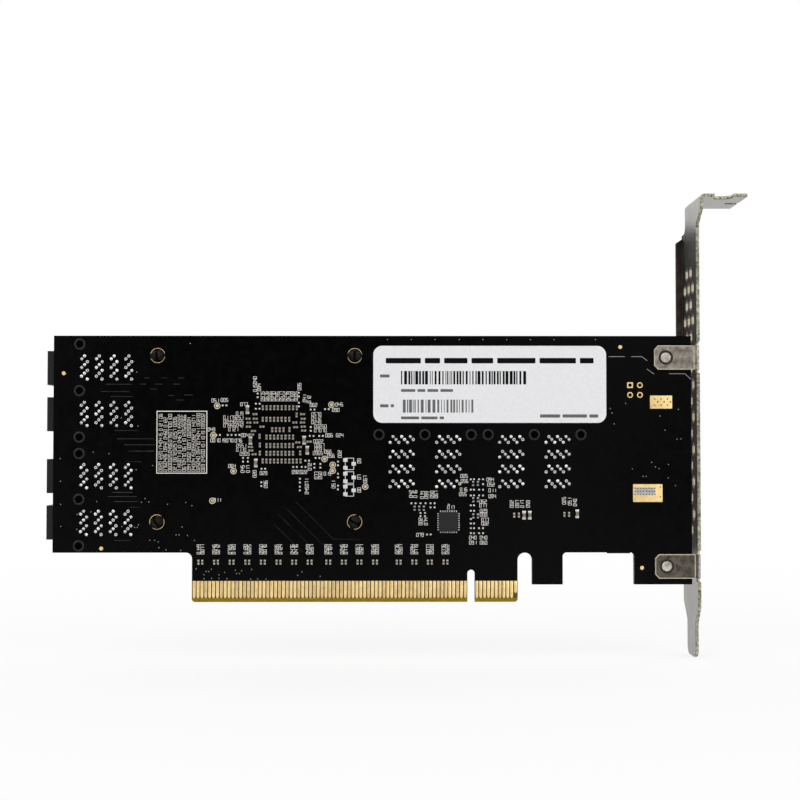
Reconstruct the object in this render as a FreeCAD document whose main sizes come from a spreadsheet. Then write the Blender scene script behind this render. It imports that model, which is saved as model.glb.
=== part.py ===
import FreeCAD, Part
import math
import os
import re

import Sketcher

# Drive adapter card: a low-profile circuit board in a full-height slot bracket,
# with eight cable ports in four dual connectors and a switch chip under a finned heatsink.
# Frame in millimetres: +X towards the bracket, +Y out of the component side, +Z up.
# The origin is the middle of the key slot, at the foot of the edge contacts, half way through the board.

SIZES = [
    # Circuit board, measured from the middle of the key slot
    ("board_thickness", 1.57),
    ("board_height", 68.9),
    ("board_front", 57.3),
    ("shoulder_height", 12.75),
    ("shoulder_round", 1.6),
    ("tongue_rear", 72.1),
    ("tongue_front", 12.05),
    ("tongue_corner", 0.5),
    ("bevel_height", 1.1),
    ("bevel_depth", 0.4),
    ("key_width", 1.9),
    ("key_depth", 8.3),
    ("hook_gap", 3.74),
    ("hook_gap_height", 12.7),
    ("hook_width", 7.95),
    ("hook_foot", 4.5),
    ("recess_width", 18.5),
    ("recess_height", 12.75),
    ("recess_round", 1.0),
    ("heel_foot", 4.5),
    # Edge contacts
    ("contact_pitch", 1.0),
    ("contact_width", 0.7),
    ("contact_top", 5.45),
    ("contact_thickness", 0.05),
    ("contact_from_key", 1.5),
    ("rear_contact_count", 71),
    ("front_contact_count", 11),
    ("presence_contact_cut", 1.2),
    # Cable connectors, measured from the line of locating pegs
    ("port_pitch", 12.05),
    ("peg_radius", 1.1),
    ("peg_clearance", 0.05),
    ("peg_short_of_face", 0.1),
    ("housing_side", 1.15),
    ("housing_front", 6.4),
    ("housing_back", 14.4),
    ("housing_height", 11.2),
    ("nose_length", 2.4),
    ("nose_width", 8.85),
    ("nose_height", 10.2),
    ("nose_lift", 0.5),
    ("mouth_width", 7.3),
    ("mouth_wall", 0.8),
    ("mouth_depth", 6.0),
    ("card_slot_width", 6.9),
    ("card_slot_height", 1.2),
    ("card_slot_spacing", 4.4),
    ("card_slot_depth", 3.0),
    ("latch_window_width", 4.6),
    ("latch_window_length", 2.4),
    ("latch_window_setback", 1.2),
    ("wafer_stack_width", 6.7),
    ("wafer_stack_length", 13.5),
    ("wafer_stack_height", 9.4),
    ("wafer_clearance", 0.05),
    ("tail_from_pegs", 1.25),
    ("tail_column_pitch", 3.825),
    ("tail_column_count", 4),
    ("tail_row_pitch", 0.75),
    ("tail_row_count", 9),
    ("tail_stagger", 0.74),
    ("tail_width", 0.5),
    ("tail_height", 0.5),
    ("rear_peg_inset", 6.7),
    ("rear_connector_to_sink", 2.34),
    ("rear_upper_centre", 54.6),
    ("rear_lower_centre", 26.45),
    ("top_peg_height", 43.23),
    ("top_left_centre", -11.9),
    ("top_right_centre", 16.5),
    # Slot bracket
    ("sheet_thickness", 0.86),
    ("bracket_gap", 1.29),
    ("bracket_width", 18.42),
    ("bracket_height", 120.02),
    ("bracket_foot", -14.87),
    ("flange_length", 11.43),
    ("flange_overhang", 5.08),
    ("flange_inset", 4.45),
    ("bend_radius", 0.4),
    ("overhang_drop", 3.9),
    ("overhang_slope", 3.2),
    ("inset_drop", 7.6),
    ("inset_round", 2.0),
    ("flange_notch_width", 4.8),
    ("flange_notch_depth", 4.3),
    ("flange_notch_from_face", 5.4),
    ("flange_slot_width", 2.0),
    ("flange_slot_length", 3.4),
    ("flange_slot_from_edge", 10.7),
    ("bracket_tongue_width", 10.19),
    ("bracket_tongue_from_edge", 3.6),
    ("bracket_tongue_length", 9.0),
    ("bracket_taper", 4.6),
    ("bracket_tip_round", 2.4),
    ("lip_depth", 1.75),
    ("lip_below_top", 8.55),
    ("lip_bottom", 16.0),
    ("lip_slope", 1.2),
    ("tab_reach", 9.7),
    ("tab_height", 6.25),
    ("tab_corner", 1.0),
    ("tab_bend_round", 0.7),
    ("tab_hole_radius", 1.6),
    ("relief_width", 0.9),
    ("relief_depth", 1.6),
    ("vent_radius", 1.5),
    ("vent_row_pitch", 4.25),
    ("vent_column_pitch", 4.9),
    ("vent_rows_of_two", 9),
    ("vents_below_top", 18.95),
    ("vent_from_edge", 9.4),
    # Bracket screws
    ("screw_from_board_end", 6.7),
    ("upper_screw_height", 63.25),
    ("lower_screw_height", 9.2),
    ("screw_radius", 1.34),
    ("screw_hole_radius", 1.6),
    ("screw_head_radius", 2.75),
    ("screw_head_height", 2.0),
    ("screw_proud", 0.25),
    # Switch chip and its heatsink
    ("chip_centre_x", -49.5),
    ("chip_centre_z", 43.0),
    ("substrate_side", 35.0),
    ("substrate_height", 1.5),
    ("lid_side", 29.0),
    ("lid_height", 1.7),
    ("thermal_pad_height", 0.3),
    ("sink_to_top_connector", 1.56),
    ("sink_centre_z", 42.2),
    ("sink_length", 58.0),
    ("sink_width", 50.3),
    ("sink_base", 2.8),
    ("fin_height", 6.6),
    ("fin_thickness", 1.0),
    ("fin_count", 15),
    ("sink_corner", 7.6),
    ("push_pin_inset_x", 3.45),
    ("push_pin_inset_z", 3.6),
    ("push_pin_width", 2.4),
    ("push_pin_thickness", 1.6),
    ("push_pin_hole_radius", 1.55),
    ("push_pin_head_radius", 3.0),
    ("push_pin_head_height", 1.2),
    ("push_pin_slot", 0.7),
    ("push_pin_slot_depth", 1.2),
    ("barb_width", 3.6),
    ("barb_height", 2.2),
    ("barb_tip_width", 1.6),
    ("barb_gap", 0.05),
    ("spring_height", 4.4),
    ("spring_wire", 0.5),
    ("spring_bore_radius", 1.75),
    ("spring_turns", 3),
    # Printed label on the solder side
    ("label_left", -25.3),
    ("label_bottom", 46.3),
    ("label_length", 60.5),
    ("label_width", 20.0),
    ("label_thickness", 0.1),
    ("label_corner", 2.3),
    # Small parts on the solder side
    ("chip_cap_length", 1.0),
    ("chip_cap_width", 0.5),
    ("chip_cap_height", 0.45),
    ("chip_cap_pitch", 0.98),
    ("coupling_cap_height", 10.3),
    ("coupling_pair_pitch", 4.03),
    ("coupling_first", -69.9),
    ("coupling_second", -36.9),
    ("coupling_third", -18.7),
    ("bulk_cap_length", 1.6),
    ("bulk_cap_width", 0.8),
    ("bulk_cap_height", 0.7),
    ("monitor_chip_x", -5.8),
    ("monitor_chip_z", 20.7),
    ("monitor_chip_side", 5.0),
    ("monitor_chip_height", 0.85),
    # Unfitted pin header
    ("header_x", 42.7),
    ("header_z", 54.8),
    ("header_pitch", 2.54),
    ("header_hole_radius", 0.5),
    # Power and clock parts on the component side
    ("inductor_side", 7.0),
    ("inductor_height", 4.0),
    ("inductor_corner", 0.8),
    ("inductor_x", 38.5),
    ("tantalum_length", 7.3),
    ("tantalum_width", 4.3),
    ("tantalum_height", 2.8),
    ("tantalum_x", 47.5),
    ("power_stage_length", 6.0),
    ("power_stage_width", 5.0),
    ("power_stage_height", 0.9),
    ("clock_row_z", 20.5),
    ("clock_x", 8.0),
    ("clock_side", 6.0),
    ("clock_height", 0.9),
    ("memory_x", -10.0),
    ("memory_length", 5.3),
    ("memory_width", 5.2),
    ("memory_height", 1.9),
    ("memory_lead_width", 0.42),
    ("memory_lead_pitch", 1.27),
    ("memory_lead_reach", 1.3),
    ("memory_lead_height", 0.8),
    ("oscillator_x", 18.0),
    ("oscillator_length", 3.2),
    ("oscillator_width", 2.5),
    ("oscillator_height", 0.9),
    # Places and spans that follow from the sizes above
    ("bracket_top", "=bracket_foot + bracket_height"),
    ("lip_top", "=bracket_top - lip_below_top"),
    ("vent_top", "=bracket_top - vents_below_top"),
    ("sink_front", "=top_left_centre - port_pitch - housing_side - sink_to_top_connector"),
    ("sink_rear", "=sink_front - sink_length"),
    ("sink_centre_x", "=(sink_front + sink_rear) / 2"),
    ("push_pin_span_x", "=sink_length - 2 * push_pin_inset_x"),
    ("push_pin_span_z", "=sink_width - 2 * push_pin_inset_z"),
    ("rear_peg_line", "=sink_rear - rear_connector_to_sink - housing_back"),
    ("board_rear", "=rear_peg_inset - rear_peg_line"),
]

doc = FreeCAD.newDocument("adapter_card")
sheet = doc.addObject("Spreadsheet::Sheet", "sizes")
for row, (alias, size) in enumerate(SIZES, start=1):
    sheet.set(f"A{row}", alias)
    sheet.set(f"B{row}", str(size))
    sheet.setAlias(f"B{row}", alias)
doc.recompute()

sub_parts = []


def formula(text):
    """Point every size named in a formula at its cell of the sheet."""
    return re.sub(r"[a-z_]{3,}", r"sizes.\g<0>", str(text))


def number(text):
    """The present value of a formula."""
    return float(sheet.evalExpression(formula(text)))


def bind(thing, name, text):
    thing.setExpression(name, formula(text))


def place(thing, x="0", y="0", z="0", rotation=FreeCAD.Rotation()):
    thing.Placement = FreeCAD.Placement(FreeCAD.Vector(number(x), number(y), number(z)), rotation)
    bind(thing, "Placement.Base.x", x)
    bind(thing, "Placement.Base.y", y)
    bind(thing, "Placement.Base.z", z)


def keep(thing, label):
    """Give a finished sub-part its name."""
    thing.Label = label
    sub_parts.append(thing)
    return thing


def new_body(name):
    return doc.addObject("PartDesign::Body", name + "_body")


def origin_feature(body, role):
    return next(feature for feature in body.Origin.OriginFeatures if feature.Role == role)


def new_sketch(body, plane, offset="0"):
    sketch = body.newObject("Sketcher::SketchObject", "sketch")
    sketch.AttachmentSupport = [(origin_feature(body, plane), "")]
    sketch.MapMode = "FlatFace"
    bind(sketch, "AttachmentOffset.Base.z", offset)
    return sketch


def fix_points(sketch, points):
    """Hold points of a sketch at formulas from its origin: line, end of the line, x and y."""
    rules = []
    texts = []
    for line, end, x, y in points:
        for kind, text in (("DistanceX", x), ("DistanceY", y)):
            rules.append(Sketcher.Constraint(kind, -1, 1, line, end, number(text)))
            texts.append(text)
    first = sketch.ConstraintCount
    sketch.addConstraint(rules)
    for index, text in enumerate(texts, start=first):
        bind(sketch, f"Constraints[{index}]", text)


def polygon(sketch, corners):
    first = sketch.GeometryCount
    points = [FreeCAD.Vector(number(x), number(y), 0) for x, y in corners]
    ends = points[1:] + points[:1]
    sketch.addGeometry([Part.LineSegment(start, end) for start, end in zip(points, ends)])
    lines = range(first, first + len(corners))
    followers = [*lines[1:], first]
    sketch.addConstraint([Sketcher.Constraint("Coincident", line, 2, follower, 1)
                          for line, follower in zip(lines, followers)])
    fix_points(sketch, [(line, 1, x, y) for line, (x, y) in zip(lines, corners)])


def rectangle(sketch, left, right, bottom, top):
    polygon(sketch, [(left, bottom), (right, bottom), (right, top), (left, top)])


def centred_rectangle(sketch, x, y, width, height):
    rectangle(
        sketch,
        f"{x} - ({width}) / 2",
        f"{x} + ({width}) / 2",
        f"{y} - ({height}) / 2",
        f"{y} + ({height}) / 2",
    )


def circle(sketch, x, y, radius):
    centre = FreeCAD.Vector(number(x), number(y), 0)
    up = FreeCAD.Vector(0, 0, 1)
    index = sketch.addGeometry(Part.Circle(centre, up, number(radius)))
    fix_points(sketch, [(index, 3, x, y)])
    rule = Sketcher.Constraint("Radius", index, number(radius))
    bind(sketch, f"Constraints[{sketch.addConstraint(rule)}]", radius)


def even_sided(sketch, x, y, radius, sides):
    """A regular polygon with its flats at the given radius."""
    corners = []
    for index in range(sides):
        angle = math.tau * (index + 0.5) / sides
        across = math.cos(angle) / math.cos(math.pi / sides)
        up = math.sin(angle) / math.cos(math.pi / sides)
        corners.append((f"{x} + ({radius}) * ({across:.6f})", f"{y} + ({radius}) * ({up:.6f})"))
    polygon(sketch, corners)


def arch(sketch, left, right, bottom, top):
    """A slot standing on a straight foot, with a half-round top."""
    spring = f"({top}) - (({right}) - ({left})) / 2"
    corners = [(left, spring), (left, bottom), (right, bottom), (right, spring)]
    points = [FreeCAD.Vector(number(x), number(y), 0) for x, y in corners]
    first = sketch.GeometryCount
    for start, end in zip(points, points[1:]):
        sketch.addGeometry(Part.LineSegment(start, end))
    crown = FreeCAD.Vector((points[0].x + points[3].x) / 2, number(top), 0)
    sketch.addGeometry(Part.Arc(points[3], crown, points[0]))
    sketch.addConstraint(Sketcher.Constraint("Coincident", first, 2, first + 1, 1))
    sketch.addConstraint(Sketcher.Constraint("Coincident", first + 1, 2, first + 2, 1))
    sketch.addConstraint(Sketcher.Constraint("Coincident", first + 2, 2, first + 3, 1))
    sketch.addConstraint(Sketcher.Constraint("Coincident", first + 3, 2, first, 1))
    fix_points(sketch, [
        (first, 1, left, spring),
        (first + 1, 1, left, bottom),
        (first + 2, 1, right, bottom),
        (first + 2, 2, right, spring),
    ])
    middle = sketch.addConstraint(Sketcher.Constraint("DistanceY", -1, 1, first + 3, 3, number(spring)))
    bind(sketch, f"Constraints[{middle}]", spring)


def pad(body, sketch, length, backwards=False):
    feature = body.newObject("PartDesign::Pad", "pad")
    feature.Profile = sketch
    feature.Reversed = backwards
    bind(feature, "Length", length)
    return feature


def pocket(body, sketch, depth, backwards=False):
    feature = body.newObject("PartDesign::Pocket", "pocket")
    feature.Profile = sketch
    feature.Reversed = backwards
    bind(feature, "Length", depth)
    return feature


def cut_through(body, sketch, backwards=False):
    feature = body.newObject("PartDesign::Pocket", "pocket")
    feature.Profile = sketch
    feature.Type = "ThroughAll"
    feature.Reversed = backwards
    return feature


def repeat(body, features, axis, spacing, count, second=None):
    """Repeat features along one body axis, or along two; with no features, the whole body."""
    pattern = body.newObject("PartDesign::LinearPattern", "pattern")
    pattern.Originals = features
    if not features:
        pattern.TransformMode = "Whole shape"
    pattern.Direction = (origin_feature(body, axis), [""])
    pattern.Mode = "Spacing"
    bind(pattern, "Offset", spacing)
    bind(pattern, "Occurrences", count)
    if second:
        second_axis, second_spacing, second_count = second
        pattern.Direction2 = (origin_feature(body, second_axis), [""])
        bind(pattern, "Length2", f"{second_spacing} * ({second_count} - 1)")
        bind(pattern, "Occurrences2", second_count)
    body.Tip = pattern
    return pattern


def edges_along(shape, axis, spots):
    """Names of the straight edges that run along one axis through the given spots.

    A spot holds two coordinates, or three where the last is a point along the edge.
    """
    others = [index for index in range(3) if index != axis]
    names = []
    for index, edge in enumerate(shape.Edges, start=1):
        if edge.Curve.TypeId != "Part::GeomLine":
            continue
        start, end = edge.Vertexes[0].Point, edge.Vertexes[-1].Point
        if any(abs(start[other] - end[other]) > 1e-6 for other in others):
            continue
        for spot in spots:
            wanted = [number(text) for text in spot]
            hit = all(abs(start[other] - size) < 1e-4 for other, size in zip(others, wanted))
            low, high = sorted((start[axis], end[axis]))
            if hit and (len(wanted) == 2 or low <= wanted[2] <= high):
                names.append(f"Edge{index}")
    return names


def round_edges(body, axis, spots, radius):
    doc.recompute()
    feature = body.newObject("PartDesign::Fillet", "fillet")
    feature.Base = (feature.BaseFeature, edges_along(feature.BaseFeature.Shape, axis, spots))
    bind(feature, "Radius", radius)
    return feature


def box(x, y, z, length, width, height):
    """A block by its lowest corner and its sizes along X, Y and Z."""
    block = doc.addObject("Part::Box", "block")
    bind(block, "Length", length)
    bind(block, "Width", width)
    bind(block, "Height", height)
    place(block, x, y, z)
    return block


COMPONENT_FACE = "board_thickness / 2"
SOLDER_FACE = "(0 - board_thickness / 2)"


def on_component_side(x, z, length, width, height, lift="0"):
    """A block centred on X and Z that stands on the component side."""
    corner_x = f"{x} - ({length}) / 2"
    corner_z = f"{z} - ({width}) / 2"
    return box(corner_x, f"{COMPONENT_FACE} + {lift}", corner_z, length, height, width)


def on_solder_side(x, z, length, width, height):
    """A block centred on X and Z that stands on the solder side."""
    corner_x = f"{x} - ({length}) / 2"
    corner_z = f"{z} - ({width}) / 2"
    return box(corner_x, f"{SOLDER_FACE} - ({height})", corner_z, length, height, width)


def group(label, pieces):
    compound = doc.addObject("Part::Compound", label + "_group")
    compound.Links = pieces
    return keep(compound, label)


# The four dual connectors: name, place of the middle peg, and the way the mouths face
MOUTH_TO_REAR = FreeCAD.Rotation(FreeCAD.Vector(-1, 0, 0), FreeCAD.Vector(0, 0, 1), FreeCAD.Vector(0, 1, 0))
MOUTH_TO_TOP = FreeCAD.Rotation(FreeCAD.Vector(0, 0, 1), FreeCAD.Vector(1, 0, 0), FreeCAD.Vector(0, 1, 0))
CONNECTORS = [
    ("rear_upper", "rear_peg_line", "rear_upper_centre", MOUTH_TO_REAR),
    ("rear_lower", "rear_peg_line", "rear_lower_centre", MOUTH_TO_REAR),
    ("top_left", "top_left_centre", "top_peg_height", MOUTH_TO_TOP),
    ("top_right", "top_right_centre", "top_peg_height", MOUTH_TO_TOP),
]
SCREW_X = "board_front - screw_from_board_end"
SCREW_HEIGHTS = ("upper_screw_height", "lower_screw_height")
HEADER_OFFSETS = ("- header_pitch / 2", "+ header_pitch / 2")
PUSH_PINS = [(f"(sink_centre_x {x} push_pin_span_x / 2)", f"(sink_centre_z {z} push_pin_span_z / 2)")
             for x in "-+" for z in "-+"]
# Small repeated holes have few flat sides, so that the whole card stays light to draw
HOLE_SIDES = 8


def circuit_board():
    body = new_body("circuit_board")
    outline = new_sketch(body, "XZ_Plane", "0 - board_thickness / 2")
    hook_end = "tongue_front + hook_gap + hook_width"
    recess_end = f"{hook_end} + recess_width"
    polygon(outline, [
        ("0 - board_rear", "shoulder_height"),
        ("0 - tongue_rear", "shoulder_height"),
        ("0 - tongue_rear", "tongue_corner"),
        ("tongue_corner - tongue_rear", "0"),
        ("tongue_front - tongue_corner", "0"),
        ("tongue_front", "tongue_corner"),
        ("tongue_front", "hook_foot"),
        (hook_end, "hook_foot"),
        (hook_end, "recess_height"),
        (recess_end, "recess_height"),
        (recess_end, "heel_foot"),
        ("board_front", "heel_foot"),
        ("board_front", "board_height"),
        ("0 - board_rear", "board_height"),
    ])
    pad(body, outline, "board_thickness")
    round_edges(body, 1, [("0 - tongue_rear", "shoulder_height")], "shoulder_round")
    recess_corners = [(hook_end, "recess_height"), (recess_end, "recess_height")]
    round_edges(body, 1, recess_corners, "recess_round")
    slots = new_sketch(body, "XZ_Plane", "board_thickness / 2")
    arch(slots, "0 - key_width / 2", "key_width / 2", "0 - key_width", "key_depth")
    arch(slots, "tongue_front", "tongue_front + hook_gap", "hook_foot - hook_gap", "hook_gap_height")
    cut_through(body, slots)
    doc.recompute()
    bevel = body.newObject("PartDesign::Chamfer", "bevel")
    feet = [(face, "0") for face in (COMPONENT_FACE, SOLDER_FACE)]
    bevel.Base = (bevel.BaseFeature, edges_along(bevel.BaseFeature.Shape, 0, feet))
    bevel.ChamferType = "Two distances"
    bind(bevel, "Size", "bevel_depth")
    bind(bevel, "Size2", "bevel_height")
    for _, x, z, turn in CONNECTORS:
        peg_holes = new_sketch(body, "XZ_Plane", "board_thickness / 2")
        for step in ("- port_pitch", "+ 0", "+ port_pitch"):
            peg_x, peg_z = (x, f"{z} {step}") if turn is MOUTH_TO_REAR else (f"{x} {step}", z)
            even_sided(peg_holes, peg_x, peg_z, "peg_radius + peg_clearance", HOLE_SIDES)
        cut_through(body, peg_holes)
    fixing_holes = new_sketch(body, "XZ_Plane", "board_thickness / 2")
    for pin_x, pin_z in PUSH_PINS:
        circle(fixing_holes, pin_x, pin_z, "push_pin_hole_radius")
    for height in SCREW_HEIGHTS:
        even_sided(fixing_holes, SCREW_X, height, "screw_hole_radius", HOLE_SIDES)
    cut_through(body, fixing_holes)
    header_holes = new_sketch(body, "XZ_Plane", "board_thickness / 2")
    for offset_x in HEADER_OFFSETS:
        for offset_z in HEADER_OFFSETS:
            hole = (f"header_x {offset_x}", f"header_z {offset_z}")
            even_sided(header_holes, *hole, "header_hole_radius", HOLE_SIDES)
    cut_through(body, header_holes)
    return keep(body, "circuit_board")


def edge_contacts(label, face, outwards, short_contact):
    """The row of contacts on one face of the tongue, each thinning to nothing at its top.

    One contact is cut short, to sense that the card is fully seated.
    """
    body = new_body(label)
    runs = (("0 - contact_from_key", "rear_contact_count", True),
            ("contact_from_key", "front_contact_count", False))
    for start, count, towards_rear in runs:
        section = new_sketch(body, "YZ_Plane", start)
        polygon(section, [
            (face, "bevel_height"),
            (f"{face} {outwards} contact_thickness", "bevel_height"),
            (face, "contact_top"),
        ])
        contact = pad(body, section, "contact_width")
        contact.SideType = "Symmetric"
        row = repeat(body, [contact], "X_Axis", "contact_pitch", count)
        row.Reversed = towards_rear
    cut = new_sketch(body, "XZ_Plane", "board_thickness")
    centred_rectangle(cut, short_contact, "bevel_height", "contact_pitch", "2 * presence_contact_cut")
    body.Tip = cut_through(body, cut)
    return keep(body, label)


def connector_housing(name, x, z, turn):
    """Moulded body in its own frame: X out of the mouths, Y across the ports, Z off the board."""
    label = "connector_housing_" + name
    body = new_body(label)
    ports = ("0 - port_pitch / 2", "port_pitch / 2")
    nose_tip = "housing_front + nose_length"
    shell = new_sketch(body, "XY_Plane")
    rectangle(shell, "0 - housing_back", "housing_front", "0 - port_pitch - housing_side",
              "port_pitch + housing_side")
    pad(body, shell, "housing_height")
    noses = new_sketch(body, "XY_Plane", "nose_lift")
    for port in ports:
        rectangle(noses, "housing_front", nose_tip, f"{port} - nose_width / 2", f"{port} + nose_width / 2")
    pad(body, noses, "nose_height")
    mouths = new_sketch(body, "YZ_Plane", nose_tip)
    for port in ports:
        rectangle(mouths, f"{port} - mouth_width / 2", f"{port} + mouth_width / 2",
                  "nose_lift + mouth_wall", "nose_lift + nose_height - mouth_wall")
    pocket(body, mouths, "mouth_depth")
    card_slots = new_sketch(body, "YZ_Plane", f"{nose_tip} - mouth_depth")
    for port in ports:
        for side in ("- card_slot_spacing / 2", "+ card_slot_spacing / 2"):
            level = f"nose_lift + nose_height / 2 {side}"
            centred_rectangle(card_slots, port, level, "card_slot_width", "card_slot_height")
    pocket(body, card_slots, "card_slot_depth")
    windows = new_sketch(body, "XY_Plane", "housing_height")
    window_end = "housing_front - latch_window_setback"
    for port in ports:
        rectangle(windows, f"{window_end} - latch_window_length", window_end,
                  f"{port} - latch_window_width / 2", f"{port} + latch_window_width / 2")
    pocket(body, windows, "housing_height - nose_lift - nose_height + mouth_wall")
    cavities = new_sketch(body, "YZ_Plane", "0 - housing_back")
    half_stack = "(wafer_stack_width / 2 + wafer_clearance)"
    for port in ports:
        rectangle(cavities, f"{port} - {half_stack}", f"{port} + {half_stack}", "0",
                  "wafer_stack_height + wafer_clearance")
    pocket(body, cavities, "wafer_stack_length + wafer_clearance", backwards=True)
    pegs = new_sketch(body, "XY_Plane")
    for peg in ("0 - port_pitch", "0", "port_pitch"):
        even_sided(pegs, "0", peg, "peg_radius", HOLE_SIDES)
    pad(body, pegs, "board_thickness - peg_short_of_face", backwards=True)
    place(body, x, COMPONENT_FACE, z, turn)
    return keep(body, label)


def contact_wafers(name, x, z, turn):
    """The stack of thin moulded slices in each port that carries the contacts."""
    label = "contact_wafers_" + name
    body = new_body(label)
    stacks = new_sketch(body, "XY_Plane")
    for port in ("0 - port_pitch / 2", "port_pitch / 2"):
        rectangle(stacks, "0 - housing_back", "wafer_stack_length - housing_back",
                  f"{port} - wafer_stack_width / 2", f"{port} + wafer_stack_width / 2")
    pad(body, stacks, "wafer_stack_height")
    place(body, x, COMPONENT_FACE, z, turn)
    return keep(body, label)


# Turns a point so that it stands out of the solder side
POINT_DOWN = FreeCAD.Rotation(FreeCAD.Vector(1, 0, 0), 180)


def pin_tails(name, x, z, turn):
    """Pointed ends of the connector pins on the solder side, staggered in threes."""
    label = "pin_tails_" + name
    body = new_body(label)
    first_row = "(0 - port_pitch / 2 - tail_row_pitch * (tail_row_count - 1) / 2)"
    for step, stagger in enumerate(("- tail_stagger", "+ tail_stagger", "+ 0")):
        tail = body.newObject("PartDesign::AdditiveWedge", "tail")
        tail.AttachmentSupport = [(origin_feature(body, "XZ_Plane"), "")]
        tail.MapMode = "FlatFace"
        tail.AttachmentOffset = FreeCAD.Placement(FreeCAD.Vector(), POINT_DOWN)
        bind(tail, "AttachmentOffset.Base.x", f"0 - tail_from_pegs {stagger}")
        bind(tail, "AttachmentOffset.Base.y", "0 - board_thickness")
        bind(tail, "AttachmentOffset.Base.z", f"0 - {first_row} - {step} * tail_row_pitch")
        for edge in ("X", "Z"):
            bind(tail, edge + "min", "0 - tail_width / 2")
            bind(tail, edge + "max", "tail_width / 2")
            bind(tail, edge + "2min", "0")
            bind(tail, edge + "2max", "0")
        bind(tail, "Ymin", "0")
        bind(tail, "Ymax", "tail_height")
    columns = ("X_Axis", "tail_column_pitch", "tail_column_count")
    rows = repeat(body, [], "Y_Axis", "3 * tail_row_pitch", "tail_row_count / 3", columns)
    rows.Reversed2 = True
    repeat(body, [], "Y_Axis", "port_pitch", "2")
    place(body, x, COMPONENT_FACE, z, turn)
    return keep(body, label)


VENT_SIDES = 6


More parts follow.
